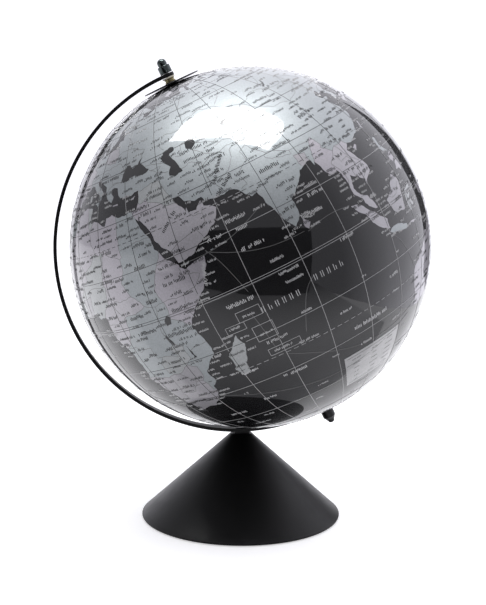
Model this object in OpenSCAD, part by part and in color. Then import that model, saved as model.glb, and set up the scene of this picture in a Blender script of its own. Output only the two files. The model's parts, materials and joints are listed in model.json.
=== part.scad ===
// Desktop globe on a cone base.
// The globe turns on a tilted axle that a half-ring meridian arc carries, and the arc is
// bolted on the flat top of a weighted cone.
// Units are millimetres. The origin is on the floor, in the middle of the cone. +Z is up,
// the arc lies in the XZ plane, and the north end of the axle leans towards -X.

/* [Globe] */
// Outer diameter of the globe, map included
globe_d = 300; // [260:10:330]
// Lean of the polar axis away from the vertical, in degrees
axis_tilt = 26; // [20:0.5:30]
// Wall of each half shell
shell_t = 1.8; // [1.2:0.1:3]
// Thickness of the printed map with its clear coat
map_t = 0.3; // [0.2:0.05:0.5]
// Width of the tape over the equator seam
tape_w = 3.6; // [2:0.1:6]
// Thickness of the equator tape
tape_t = 0.12; // [0.1:0.01:0.2]
// Half width of the joining ring inside the seam
ring_half_w = 9; // [6:0.5:14]
// Thickness of the joining ring
ring_t = 2; // [1.5:0.1:3]

/* [Meridian arc] */
// Width of the strip
arc_w = 11; // [9:0.5:13]
// Thickness of the strip
arc_t = 2.8; // [1.8:0.1:3]
// Gap between the strip and a globe that would hang in the middle of it
arc_gap = 3.7; // [3.7:0.1:5]
// How far the globe hangs off the middle of the arc, towards its south end
globe_shift = 6.5; // [0:0.5:6.5]

/* [Base] */
// Diameter of the cone at the floor
base_d = 170; // [150:1:190]
// Height of the cone
cone_h = 70.2; // [60:0.1:85]
// Diameter of the flat on top of the cone
neck_d = 18; // [17:0.5:22]
// Wall of the cone
cone_t = 1.5; // [1:0.1:2]
// Thickness of the flat on top of the cone
neck_t = 3; // [2:0.1:4]
// Height of the straight lip round the foot of the cone
lip_h = 1; // [1:0.1:2]
// How far the pad stands out below the lip
pad_proud = 0.8; // [0.5:0.1:1.2]
// Thickness of the foot pad
pad_t = 1.5; // [1.3:0.1:2.5]
// Thickness of the bottom plate
plate_t = 1.5; // [1:0.1:2]
// Diameter of the ballast weight
ballast_d = 112; // [80:2:114]
// Height of the ballast weight
ballast_h = 16; // [8:1:18]
// Thickness of the saddle under the middle of the arc
saddle_t = 1.9; // [1.5:0.1:3]
// Length of the saddle along the arc
saddle_l = 13; // [12:0.5:15]

/* [Axle] */
// Diameter of the axle rod
axle_d = 4; // [3.5:0.1:4.5]
// Diameter of the pole bushes where they pass through the shell
bush_d = 10; // [9:0.5:12]
// Diameter of the north knob's lower step
knob_d = 10.4; // [9:0.1:11]
// Diameter of the north knob's upper step
knob_top_d = 7.8; // [7:0.1:8.5]
// Height of the north knob
knob_h = 12.4; // [11:0.1:14]
// Diameter of the south cap nut
cap_d = 11; // [10:0.1:12]
// Height of the south cap nut
cap_h = 15; // [13:0.1:16]
// Diameter of the brass collar
collar_d = 8.8; // [8:0.1:9.5]

/* [Hour disc] */
// Diameter of the hour disc
disc_d = 48; // [36:1:56]
// Thickness of the hour disc
disc_t = 0.8; // [0.6:0.1:1]

/* [Hidden] */

$fn = 96;
// Facets of the profile of a ball and of the strip, which are larger than the rest
ball_fn = 180;
strip_fn = 360;

globe_r = globe_d / 2;
shell_r = globe_r - map_t;
inner_r = shell_r - shell_t;
arc_in_r = globe_r + arc_gap;
arc_out_r = arc_in_r + arc_t;

// Gaps: between a turning bore and the axle, between fixed pieces, and past a cut face
run_gap = 0.06;
fit_gap = 0.02;
face_gap = 0.1;
past = 1;

axle_r = axle_d / 2;
bush_r = bush_d / 2;
hole_r = bush_r + fit_gap;
turning_bore_r = axle_r + run_gap;
fixed_bore_r = axle_r + fit_gap;

neck_z = pad_proud + cone_h;
arc_low_z = neck_z + saddle_t;
globe_z = arc_low_z + arc_out_r;

// Distance from the globe's centre, along the axis, to a circle about the arc's centre.
// side is 1 towards the north pole and -1 towards the south pole.
function reach(r, side) = side * globe_shift * sin(axis_tilt)
    + sqrt(r * r - pow(globe_shift * cos(axis_tilt), 2));

// The strip leans a little from square to the axle, so a flat piece of radius r that sits
// on it keeps this much clear
strip_lean = asin(globe_shift * cos(axis_tilt) / arc_in_r);
function lean_gap(r) = r * tan(strip_lean) + r * r / (2 * arc_in_r) + face_gap / 2;

arc_mid_r = (arc_in_r + arc_out_r) / 2;
north_reach = reach(arc_mid_r, 1);
south_reach = reach(arc_mid_r, -1);
north_angle = atan2(north_reach * cos(axis_tilt), globe_shift - north_reach * sin(axis_tilt));
south_angle = 360 - atan2(south_reach * cos(axis_tilt), globe_shift + south_reach * sin(axis_tilt));

// Stack of pieces on the axle north of the globe, as distances from the globe's centre
bush_proud = 0.1;
bush_top = globe_r + bush_proud;
disc_low = bush_top + face_gap;
disc_top = disc_low + disc_t;
disc_washer_r = 5;
disc_washer_t = 0.7;
disc_washer_top = disc_top + face_gap + disc_washer_t;
top_washer_r = 5.4;
top_washer_t = 1;
top_washer_top = reach(arc_in_r, 1) - lean_gap(top_washer_r);
collar_top = top_washer_top - top_washer_t;
knob_low = reach(arc_out_r, 1) + lean_gap(knob_d / 2);
cap_low = reach(arc_out_r, -1) + lean_gap(cap_d / 2);

// Collar: the tall ring at its foot and the low one at its head, the waist between them,
// and the slope from one to the other
collar_foot_h = 0.9;
collar_head_h = 0.7;
collar_waist = 0.5;
collar_slope = 0.4;

// North knob: its lower step, its dome, the bevels of its ends, the groove under its upper
// step, and the metal left over the rod
knob_step_h = 6.4;
knob_dome_h = 3.6;
knob_bevel = 0.4;
knob_shoulder = 0.55;
knob_groove = 0.3;
knob_groove_h = 0.5;
knob_floor = 4;

// South cap nut: its narrowing part, the bevel of its end, the step below the narrowing
// part, its tip, and the metal left over the rod
cap_taper_h = 6.4;
cap_bevel = 0.4;
cap_step = 0.5;
cap_tip_r = 0.26 * cap_d;
cap_tip_h = 2;
cap_floor = 3;

// South of the globe
south_washer_r = 4;
south_washer_low = bush_top + face_gap;
south_washer_top = reach(arc_in_r, -1) - lean_gap(south_washer_r);

// Bushes
flange_r = 11;
flange_t = 2;
flange_top = sqrt(inner_r * inner_r - flange_r * flange_r) - fit_gap;
bush_len = 12;

// Cone: bevels at its foot and neck, the lip's wall past the cone's, and the gap round
// the plate and the pad
foot_bevel = 0.4;
neck_bevel = 0.3;
neck_flat_in = 0.2;
lip_extra_t = 0.7;
plate_gap = 0.2;
pad_inset = 0.6;
base_r = base_d / 2;
neck_r = neck_d / 2;
lip_top = pad_proud + lip_h;
cone_run = (base_r - neck_r) / (neck_z - lip_top);
wall_run = cone_t * sqrt(1 + cone_run * cone_run);
plate_low = pad_t;
plate_top = plate_low + plate_t;
lip_in_r = base_r - cone_t - lip_extra_t;
function cone_in_r(z) = base_r - (z - lip_top) * cone_run - wall_run;
plate_r = cone_in_r(plate_top) - plate_gap;
pad_r = plate_r - pad_inset;
ceiling_z = neck_z - neck_t;
// Height at which the lip's bore meets the inside of the cone
lip_in_z = lip_top + (base_r - wall_run - lip_in_r) / cone_run;

// Bolt that holds the arc
bolt_r = 2.5;
bolt_hole_r = bolt_r + face_gap;
bolt_head_r = 4.75;
bolt_head_h = 2.2;
bolt_head_bevel = 1.1;
bolt_socket_flats = 3;
bolt_socket_depth = 1.4;
bolt_below = 8;
bolt_end_z = ceiling_z - bolt_below;
washer_r = 7;
washer_t = 1;
nut_flats = 8;
nut_h = 4;

// Screws through the bottom plate into the ballast
screw_ring_r = 40;
screw_count = 3;
screw_r = 1.9;
screw_gap = 0.03;
screw_hole_r = screw_r + screw_gap;
screw_head_h = plate_t - face_gap;
screw_head_r = screw_r + screw_head_h;
screw_len = 10;
socket_flats = 2.5;
socket_depth = 1.1;

// Puts its children on the polar axis: their origin at the globe's centre, +Z to the north
module on_axis() {
    translate([globe_shift, 0, globe_z])
        rotate([0, -axis_tilt, 0])
            children();
}

// The same, with +Z to the south
module on_south_axis() {
    on_axis()
        rotate([180, 0, 0])
            children();
}

// Flat ring on its own axis
module washer(low, high, out_r, in_r) {
    translate([0, 0, low])
        difference() {
            cylinder(h = high - low, r = out_r);
            translate([0, 0, -past])
                cylinder(h = high - low + 2 * past, r = in_r);
        }
}

// Half of a hollow ball, open at the pole by hole_r
module half_ball(out_r, in_r) {
    rotate_extrude()
        intersection() {
            difference() {
                circle(r = out_r, $fn = ball_fn);
                circle(r = in_r, $fn = ball_fn);
            }
            translate([hole_r, 0])
                square([out_r, out_r]);
        }
}

// Band that follows a ball, half_w either side of the equator
module ball_band(out_r, in_r, half_w) {
    rotate_extrude()
        intersection() {
            difference() {
                circle(r = out_r, $fn = ball_fn);
                circle(r = in_r, $fn = ball_fn);
            }
            translate([0, -half_w])
                square([out_r, 2 * half_w]);
        }
}

// Bush glued into a pole from the inside: a barrel flush with the map, and a flange within
module bush() {
    difference() {
        union() {
            translate([0, 0, flange_top - bush_len])
                cylinder(h = bush_top - flange_top + bush_len, r = bush_r);
            translate([0, 0, flange_top - flange_t])
                cylinder(h = flange_t, r = flange_r);
        }
        translate([0, 0, flange_top - bush_len - past])
            cylinder(h = bush_top - flange_top + bush_len + 2 * past, r = turning_bore_r);
    }
}

module base_cone() {
    color("#1b1b1d")
        rotate_extrude()
            polygon([
                [lip_in_r, pad_proud], [base_r - foot_bevel, pad_proud],
                [base_r, pad_proud + foot_bevel], [base_r, lip_top],
                [neck_r + neck_bevel, neck_z - neck_bevel / cone_run],
                [neck_r - neck_flat_in, neck_z], [bolt_hole_r, neck_z],
                [bolt_hole_r, ceiling_z], [cone_in_r(ceiling_z), ceiling_z],
                [lip_in_r, lip_in_z]
            ]);
}

module base_plate() {
    color("#3a3a3c")
        difference() {
            translate([0, 0, plate_low])
                cylinder(h = plate_t, r = plate_r);
            for (i = [0 : screw_count - 1])
                rotate([0, 0, i * 360 / screw_count])
                    translate([screw_ring_r, 0, 0])
                        screw_seat();
        }
}

// Countersunk hole for one bottom screw
module screw_seat() {
    translate([0, 0, plate_low - past])
        cylinder(h = plate_t + 2 * past, r = screw_hole_r);
    translate([0, 0, plate_low])
        cylinder(h = screw_head_h, r1 = screw_head_r + fit_gap, r2 = screw_hole_r);
}

module base_pad() {
    color("#111112")
        cylinder(h = pad_t, r = pad_r);
}

module base_screw() {
    difference() {
        union() {
            translate([0, 0, plate_low])
                cylinder(h = screw_head_h, r1 = screw_head_r, r2 = screw_r);
            translate([0, 0, plate_low])
                cylinder(h = screw_len, r = screw_r);
        }
        translate([0, 0, plate_low - past])
            cylinder(h = socket_depth + past, d = socket_flats / cos(30), $fn = 6);
    }
}

module base_screws() {
    color("#8a8a8c")
        for (i = [0 : screw_count - 1])
            rotate([0, 0, i * 360 / screw_count])
                translate([screw_ring_r, 0, 0])
                    base_screw();
}

module ballast_weight() {
    color("#55555a")
        difference() {
            translate([0, 0, plate_top])
                cylinder(h = ballast_h, r = ballast_d / 2);
            for (i = [0 : screw_count - 1])
                rotate([0, 0, i * 360 / screw_count])
                    translate([screw_ring_r, 0, plate_top - past])
                        cylinder(h = screw_len + past, r = screw_hole_r);
        }
}

// Spacer that carries the round back of the arc on the flat top of the cone
module arc_saddle() {
    color("#1b1b1d")
        difference() {
            translate([-saddle_l / 2, -arc_w / 2, neck_z])
                cube([saddle_l, arc_w, saddle_t + past]);
            translate([0, 0, globe_z])
                rotate([90, 0, 0])
                    cylinder(h = arc_w + 2 * past, r = arc_out_r, center = true, $fn = strip_fn);
            translate([0, 0, neck_z - past])
                cylinder(h = saddle_t + 2 * past, r = bolt_hole_r);
        }
}

module arc_bolt() {
    head_z = arc_low_z + arc_t + lean_gap(bolt_head_r) - bolt_head_r * tan(strip_lean);
    color("#2a2a2c")
        difference() {
            union() {
                translate([0, 0, head_z])
                    cylinder(h = bolt_head_h, r1 = bolt_head_r, r2 = bolt_head_r - bolt_head_bevel);
                translate([0, 0, bolt_end_z])
                    cylinder(h = head_z - bolt_end_z + past, r = bolt_r);
            }
            translate([0, 0, head_z + bolt_head_h - bolt_socket_depth])
                cylinder(h = bolt_socket_depth + past, d = bolt_socket_flats / cos(30), $fn = 6);
        }
}

module arc_bolt_washer() {
    color("#9a9a9c")
        washer(ceiling_z - washer_t, ceiling_z, washer_r, bolt_hole_r);
}

module arc_bolt_nut() {
    color("#9a9a9c")
        difference() {
            translate([0, 0, ceiling_z - washer_t - nut_h])
                cylinder(h = nut_h, d = nut_flats / cos(30), $fn = 6);
            translate([0, 0, ceiling_z - washer_t - nut_h - past])
                cylinder(h = nut_h + 2 * past, r = bolt_r + fit_gap);
        }
}

// Full ring of the strip, of which the arc is the western half
module strip_ring() {
    translate([0, 0, globe_z])
        rotate([90, 0, 0])
            difference() {
                cylinder(h = arc_w, r = arc_out_r, center = true, $fn = strip_fn);
                cylinder(h = arc_w + 2 * past, r = arc_in_r, center = true, $fn = strip_fn);
            }
}

// Wedge between the two axle holes, round the west side
module strip_sector() {
    steps = 6;
    step = (south_angle - north_angle) / steps;
    rim = [
        for (i = [0 : steps])
            let (a = north_angle + i * step)
                2 * arc_out_r * [cos(a), sin(a)]
    ];
    translate([0, 0, globe_z])
        rotate([90, 0, 0])
            linear_extrude(height = arc_w + 2 * past, center = true)
                polygon(concat([[0, 0]], rim));
}

module meridian_arc() {
    color("#1b1b1d")
        difference() {
            union() {
                intersection() {
                    strip_ring();
                    strip_sector();
                }
                intersection() {
                    strip_ring();
                    on_axis()
                        cylinder(h = globe_d, r = arc_w / 2);
                }
                intersection() {
                    strip_ring();
                    on_south_axis()
                        cylinder(h = globe_d, r = arc_w / 2);
                }
            }
            on_axis()
                cylinder(h = 2 * globe_d, r = fixed_bore_r, center = true);
            translate([0, 0, neck_z])
                cylinder(h = saddle_t + arc_t + arc_gap, r = bolt_hole_r);
        }
}

module axle_rod() {
    south = cap_low + cap_h - cap_floor;
    north = knob_low + knob_h - knob_floor;
    color("#b0b0b4")
        on_axis()
            translate([0, 0, -south])
                cylinder(h = south + north, r = axle_r);
}

// Turned finial nut in two steps with a domed end
module north_knob() {
    low_r = knob_d / 2;
    top_r = knob_top_d / 2;
    groove_r = top_r - knob_groove;
    neck_h = knob_h - knob_dome_h;
    color("#2b3030")
        on_axis()
            translate([0, 0, knob_low])
                difference() {
                    rotate_extrude()
                        polygon(concat(
                            [
                                [0, 0], [low_r - knob_bevel, 0], [low_r, knob_bevel],
                                [low_r, knob_step_h - knob_shoulder],
                                [low_r - knob_shoulder, knob_step_h],
                                [groove_r, knob_step_h], [groove_r, knob_step_h + knob_groove_h],
                                [top_r, knob_step_h + knob_groove_h + knob_groove]
                            ],
                            [for (a = [0 : 15 : 90]) [top_r * cos(a), neck_h + knob_dome_h * sin(a)]]
                        ));
                    translate([0, 0, -past])
                        cylinder(h = knob_h - knob_floor + past + face_gap, r = fixed_bore_r);
                }
}

module north_top_washer() {
    color("#d9d2bb")
        on_axis()
            washer(collar_top, top_washer_top, top_washer_r, fixed_bore_r);
}

module north_collar() {
    low = disc_washer_top;
    collar_r = collar_d / 2;
    waist_r = collar_r - collar_waist;
    color("#8c8467")
        on_axis()
            difference() {
                rotate_extrude()
                    polygon([
                        [0, low], [collar_r, low], [collar_r, low + collar_foot_h],
                        [waist_r, low + collar_foot_h + collar_slope],
                        [waist_r, collar_top - collar_head_h - collar_slope],
                        [collar_r, collar_top - collar_head_h], [collar_r, collar_top],
                        [0, collar_top]
                    ]);
                translate([0, 0, low - past])
                    cylinder(h = collar_top - low + 2 * past, r = fixed_bore_r);
            }
}

module north_disc_washer() {
    color("#2b2b2d")
        on_axis()
            washer(disc_top + face_gap, disc_washer_top, disc_washer_r, fixed_bore_r);
}

module hour_disc() {
    color("#1b1b1d")
        on_axis()
            washer(disc_low, disc_top, disc_d / 2, turning_bore_r);
}

module north_bush() {
    color("#202022")
        on_axis()
            bush();
}

module south_bush() {
    color("#202022")
        on_south_axis()
            bush();
}

module north_shell() {
    color("#d8d8d4")
        on_axis()
            half_ball(shell_r, inner_r);
}

module south_shell() {
    color("#d8d8d4")
        on_south_axis()
            half_ball(shell_r, inner_r);
}

module north_map() {
    color("#8e9193")
        on_axis()
            half_ball(globe_r, shell_r);
}

module south_map() {
    color("#38383b")
        on_south_axis()
            half_ball(globe_r, shell_r);
}

module joining_ring() {
    color("#c8c8c4")
        on_axis()
            ball_band(inner_r - fit_gap, inner_r - ring_t, ring_half_w);
}

module equator_tape() {
    color("#4a4a4d")
        on_axis()
            ball_band(globe_r + tape_t, globe_r, tape_w / 2);
}

module south_washer() {
    color("#d9d2bb")
        on_south_axis()
            washer(south_washer_low, south_washer_top, south_washer_r, fixed_bore_r);
}

// Cap nut that narrows to a rounded end
module south_cap_nut() {
    cap_r = cap_d / 2;
    straight_h = cap_h - cap_taper_h;
    color("#242426")
        on_south_axis()
            translate([0, 0, cap_low])
                difference() {
                    rotate_extrude()
                        polygon(concat(
                            [
                                [0, 0], [cap_r - cap_bevel, 0], [cap_r, cap_bevel],
                                [cap_r, straight_h], [cap_r - cap_step, straight_h + cap_step]
                            ],
                            [for (a = [0 : 15 : 90])
                                [cap_tip_r * cos(a), cap_h - cap_tip_h + cap_tip_h * sin(a)]]
                        ));
                    translate([0, 0, -past])
                        cylinder(h = cap_h - cap_floor + past + face_gap, r = fixed_bore_r);
                }
}

base_cone();
base_plate();
base_pad();
base_screws();
ballast_weight();
arc_saddle();
arc_bolt();
arc_bolt_washer();
arc_bolt_nut();
meridian_arc();
axle_rod();
north_knob();
north_top_washer();
north_collar();
north_disc_washer();
hour_disc();
north_bush();
north_shell();
north_map();
joining_ring();
equator_tape();
south_map();
south_shell();
south_bush();
south_washer();
south_cap_nut();
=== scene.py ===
import json
import math
import random

import bmesh
import bpy
import numpy as np
from mathutils import Matrix, Vector
from mathutils.geometry import delaunay_2d_cdt


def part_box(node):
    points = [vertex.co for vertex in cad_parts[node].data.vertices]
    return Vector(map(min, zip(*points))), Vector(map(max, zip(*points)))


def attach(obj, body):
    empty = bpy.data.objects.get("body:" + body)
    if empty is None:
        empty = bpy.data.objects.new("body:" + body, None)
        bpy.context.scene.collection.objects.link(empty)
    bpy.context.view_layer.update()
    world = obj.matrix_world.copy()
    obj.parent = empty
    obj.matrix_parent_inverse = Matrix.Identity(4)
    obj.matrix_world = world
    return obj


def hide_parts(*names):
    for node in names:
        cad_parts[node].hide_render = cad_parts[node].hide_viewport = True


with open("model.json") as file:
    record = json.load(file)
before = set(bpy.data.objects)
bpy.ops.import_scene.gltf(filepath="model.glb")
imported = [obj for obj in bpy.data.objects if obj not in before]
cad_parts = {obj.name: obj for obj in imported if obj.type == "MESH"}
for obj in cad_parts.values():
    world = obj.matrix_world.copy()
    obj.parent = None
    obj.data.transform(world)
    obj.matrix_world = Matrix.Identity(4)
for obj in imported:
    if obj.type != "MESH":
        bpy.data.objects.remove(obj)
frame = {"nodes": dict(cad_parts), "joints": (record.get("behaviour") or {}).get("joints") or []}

# The visual model of a desktop globe: a printed ball on a tilted axle, held by a half-ring
# strip on a black cone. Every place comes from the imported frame. Sizes in millimetres are
# written as a number times MM.

MM = 0.001
scene = bpy.context.scene
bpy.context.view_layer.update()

# ---------------------------------------------------------------------------
# Places, from the frame
# ---------------------------------------------------------------------------

SPIN = next(j for j in frame["joints"] if j["name"] == "globe_spin")
CENTRE = Vector(SPIN["pos_m"])
POLE = Vector(SPIN["axis"]).normalized()
MIDDLE = np.array(CENTRE)
UP = Vector((0, 0, 1))
GLOBE_R = round(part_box("north_map")[1].y, 4)

# The meridian that faces -Y at rest
FACING_LONGITUDE = 70.5
TO_FRONT = Vector((0, -1, 0))
TO_EAST = POLE.cross(TO_FRONT)
TURN = np.array([TO_FRONT, TO_EAST, POLE])

# How far each printed layer stands above the ball
TAPE_RISE = 0.05 * MM
LAND_RISE = 0.10 * MM
LAKE_RISE = 0.14 * MM
INK_RISE = 0.18 * MM
SUNK = -0.08 * MM

# The bore of the nuts and the collar on the axle rod
ROD_BORE_R = 2.02 * MM


def on_globe(lonlat, radius):
    """Points of the ball at rest, from an array of (longitude, latitude) in degrees."""
    lonlat = np.radians(np.asarray(lonlat, float).reshape(-1, 2))
    turn = lonlat[:, 0] - math.radians(FACING_LONGITUDE)
    lat = lonlat[:, 1]
    flat = np.stack([np.cos(lat) * np.cos(turn), np.cos(lat) * np.sin(turn), np.sin(lat)], axis=1)
    return MIDDLE + radius * (flat @ TURN)


def axial(node):
    """Where a CAD node starts and ends along the polar axis, and its radius about it."""
    points = np.array([v.co[:] for v in frame["nodes"][node].data.vertices]) - MIDDLE
    height = points @ np.array(POLE)
    radius = np.linalg.norm(points - np.outer(height, POLE), axis=1)
    return height.min(), height.max(), radius.max()


# ---------------------------------------------------------------------------
# Materials
# ---------------------------------------------------------------------------


def new_material(name):
    """A node material, with its nodes and links."""
    material = bpy.data.materials.new(name)
    material.use_nodes = True
    return material, material.node_tree.nodes, material.node_tree.links


def preset(node, values):
    """Sets inputs of a node, by their names."""
    for name, value in values.items():
        node.inputs[name].default_value = value


def noise(nodes, links, scale, detail):
    """A noise texture in the object's own coordinates, which turn with it."""
    place = nodes.new("ShaderNodeTexCoord")
    texture = nodes.new("ShaderNodeTexNoise")
    preset(texture, {"Scale": scale, "Detail": detail})
    links.new(place.outputs["Object"], texture.inputs["Vector"])
    return texture.outputs["Fac"]


def ramp(nodes, links, source, stops, hard=False):
    """A colour ramp through (place, colour) stops."""
    node = nodes.new("ShaderNodeValToRGB")
    node.color_ramp.interpolation = "CONSTANT" if hard else "LINEAR"
    elements = node.color_ramp.elements
    while len(elements) < len(stops):
        elements.new(0.5)
    for element, (place, colour) in zip(elements, stops):
        element.position = place
        element.color = (*colour, 1)
    links.new(source, node.inputs["Fac"])
    return node.outputs["Color"]


def spread(nodes, links, source, low, high):
    """Turns a 0.3 to 0.7 noise into the range low to high."""
    node = nodes.new("ShaderNodeMapRange")
    preset(node, {"From Min": 0.3, "From Max": 0.7, "To Min": low, "To Max": high})
    links.new(source, node.inputs["Value"])
    return node.outputs["Result"]


def bump(nodes, links, source, strength, depth):
    """The normal of a surface that a noise raises by up to depth."""
    node = nodes.new("ShaderNodeBump")
    preset(node, {"Strength": strength, "Distance": depth})
    links.new(source, node.inputs["Height"])
    return node.outputs["Normal"]


def surface(name, dark, light, rough, metal=0.0, size=60.0, grain=1500.0, depth=0.02 * MM,
            gloss=0.5):
    """A finish with cloudy colour, uneven gloss and a fine grain.

    dark and light are the two colours, rough the range of roughness, size the clouds and
    grain the texture, both in repeats per metre, depth how deep the grain is and gloss how
    much light the finish mirrors.
    """
    material, nodes, links = new_material(name)
    shader = nodes["Principled BSDF"]
    preset(shader, {"Metallic": metal, "Specular IOR Level": gloss})
    cloud = noise(nodes, links, size, 5.0)
    links.new(ramp(nodes, links, cloud, [(0.3, dark), (0.7, light)]), shader.inputs["Base Color"])
    links.new(spread(nodes, links, noise(nodes, links, size * 2.5, 3.0), *rough),
              shader.inputs["Roughness"])
    fine = noise(nodes, links, grain, 2.0)
    links.new(bump(nodes, links, fine, 0.6, depth), shader.inputs["Normal"])
    return material


def grey(value):
    return (value, value, value)


def printed(name, stops, attribute=None, metal=0.0):
    """Print under a clear gloss coat, with faint paper mottling and a silver sheen if wanted."""
    rough = (0.47, 0.53)
    material, nodes, links = new_material(name)
    shader = nodes["Principled BSDF"]
    preset(shader, {"Specular IOR Level": 0.1, "Metallic": metal, "Coat Weight": 1.0,
                    "Coat Roughness": 0.04})
    mottle = noise(nodes, links, 900.0, 3.0)
    if attribute:
        read = nodes.new("ShaderNodeAttribute")
        read.attribute_name = attribute
        base = ramp(nodes, links, read.outputs["Fac"], stops, hard=True)
    else:
        base = ramp(nodes, links, noise(nodes, links, 25.0, 4.0), stops)
    shade = ramp(nodes, links, mottle, [(0.35, grey(0.86)), (0.65, grey(1.0))])
    mix = nodes.new("ShaderNodeMix")
    mix.data_type = "RGBA"
    mix.blend_type = "MULTIPLY"
    preset(mix, {"Factor": 1.0})
    links.new(base, mix.inputs["A"])
    links.new(shade, mix.inputs["B"])
    links.new(mix.outputs["Result"], shader.inputs["Base Color"])
    links.new(spread(nodes, links, noise(nodes, links, 120.0, 3.0), *rough),
              shader.inputs["Roughness"])
    ripple = noise(nodes, links, 22.0, 2.0)
    waves = bump(nodes, links, ripple, 0.25, 0.8 * MM)
    links.new(waves, shader.inputs["Normal"])
    links.new(waves, shader.inputs["Coat Normal"])
    return material


SEA = printed("sea_print", [(0.3, (0.0036, 0.0036, 0.0041)), (0.7, (0.0048, 0.0048, 0.0055))])
LAND = printed("land_print", [
    (0.0, (0.335, 0.32, 0.345)), (0.2, (0.282, 0.305, 0.312)), (0.4, (0.348, 0.338, 0.357)),
    (0.6, (0.296, 0.289, 0.304)), (0.8, (0.314, 0.327, 0.327)),
], attribute="tint", metal=0.72)
LAKE = printed("lake_print", [(0.3, (0.012, 0.012, 0.013)), (0.7, (0.02, 0.02, 0.021))])
DARK_INK = printed("dark_ink", [(0.3, grey(0.012)), (0.7, grey(0.022))])
BORDER_INK = printed("border_ink", [(0.3, grey(0.1)), (0.7, grey(0.13))])
PALE_INK = printed("pale_ink", [(0.3, grey(0.32)), (0.7, grey(0.4))])
GRID_INK = printed("grid_ink", [(0.3, grey(0.25)), (0.7, grey(0.31))])
FAINT_INK = printed("faint_ink", [(0.3, grey(0.05)), (0.7, grey(0.07))])
PANEL = printed("panel_print", [(0.3, grey(0.26)), (0.7, grey(0.31))])

CONE_PAINT = surface("cone_paint", grey(0.0006), grey(0.0012), (0.38, 0.44), size=40, grain=1400,
                     gloss=0.26)
ARC_PAINT = surface("arc_paint", grey(0.002), grey(0.004), (0.36, 0.44), size=50, grain=1600,
                    gloss=0.2)
DISC_PAINT = surface("disc_paint", grey(0.003), grey(0.006), (0.3, 0.4), size=60, grain=1800)
BLACK_STEEL = surface("black_steel", grey(0.015), grey(0.03), (0.25, 0.4), metal=0.8, size=200)
ZINC_STEEL = surface("zinc_steel", (0.42, 0.42, 0.43), (0.58, 0.58, 0.57), (0.25, 0.4), metal=1.0,
                     size=300, grain=2500)
PLATE_STEEL = surface("plate_steel", grey(0.05), grey(0.09), (0.4, 0.55), metal=0.6, size=50)
BALLAST_IRON = surface("ballast_iron", (0.05, 0.048, 0.047), (0.1, 0.095, 0.09), (0.55, 0.75),
                       metal=0.7, size=80, grain=500, depth=0.15 * MM)
PAD_RUBBER = surface("pad_rubber", grey(0.012), grey(0.022), (0.75, 0.9), size=90, grain=900,
                     depth=0.08 * MM)
DARK_CHROME = surface("dark_chrome", (0.045, 0.055, 0.055), (0.075, 0.088, 0.086), (0.1, 0.2),
                      metal=1.0, size=250, grain=3000, depth=0.004 * MM)
AGED_BRASS = surface("aged_brass", (0.2, 0.17, 0.09), (0.34, 0.3, 0.17), (0.25, 0.4), metal=1.0,
                     size=400, grain=3000, depth=0.01 * MM)
CREAM_NYLON = surface("cream_nylon", (0.62, 0.58, 0.46), (0.72, 0.68, 0.56), (0.35, 0.45),
                      size=200)
BUSH_PLASTIC = surface("bush_plastic", grey(0.014), grey(0.024), (0.3, 0.42), size=150)
SHELL_PLASTIC = surface("shell_plastic", grey(0.6), grey(0.68), (0.4, 0.5), size=30)
DIAL_INK = surface("dial_ink", grey(0.5), grey(0.6), (0.35, 0.45), size=300)

# ---------------------------------------------------------------------------
# Mesh helpers
# ---------------------------------------------------------------------------


def piece(name, verts, faces, body, material, replaces=(), smooth=True):
    """A mesh object that rides on a CAD body."""
    mesh = bpy.data.meshes.new(name)
    mesh.from_pydata([tuple(v) for v in verts], [], faces)
    mesh.materials.append(material)
    obj = bpy.data.objects.new(name, mesh)
    scene.collection.objects.link(obj)
    work = bmesh.new()
    work.from_mesh(mesh)
    bmesh.ops.recalc_face_normals(work, faces=work.faces)
    work.to_mesh(mesh)
    work.free()
    if smooth:
        mesh.shade_smooth()
        mesh.set_sharp_from_angle(angle=math.radians(35))
    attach(obj, body)
    if replaces:
        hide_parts(*replaces)
    return obj


def joined(parts):
    """One list of points and faces from several."""
    verts = []
    faces = []
    for part_verts, part_faces in parts:
        start = len(verts)
        verts.extend(part_verts)
        faces.extend([tuple(i + start for i in face) for face in part_faces])
    return verts, faces


def corner(r, h, size, start, end, steps=5):
    """Points of a rounded corner, centred on radius r and height h of a turned profile."""
    angles = np.radians(np.linspace(start, end, steps))
    return [(r + size * math.cos(a), h + size * math.sin(a)) for a in angles]


def lathe(profile, axis, foot, turns=72):
    """Points and faces of a closed profile of (radius, height) turned about an axis."""
    across = axis.orthogonal().normalized()
    beside = axis.cross(across)
    verts = []
    rings = []
    for r, h in profile:
        if r < 1e-7:
            rings.append([len(verts)] * turns)
            verts.append(foot + axis * h)
            continue
        rings.append(list(range(len(verts), len(verts) + turns)))
        for i in range(turns):
            a = math.tau * i / turns
            verts.append(foot + axis * h + (across * math.cos(a) + beside * math.sin(a)) * r)
    faces = []
    for ring, following in zip(rings, rings[1:] + rings[:1]):
        for i in range(turns):
            j = (i + 1) % turns
            loop = list(dict.fromkeys([ring[i], ring[j], following[j], following[i]]))
            if len(loop) > 2:
                faces.append(tuple(loop))
    return verts, faces


# ---------------------------------------------------------------------------
# The map: coasts and borders, given as longitudes and latitudes in degrees
# ---------------------------------------------------------------------------

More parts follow.
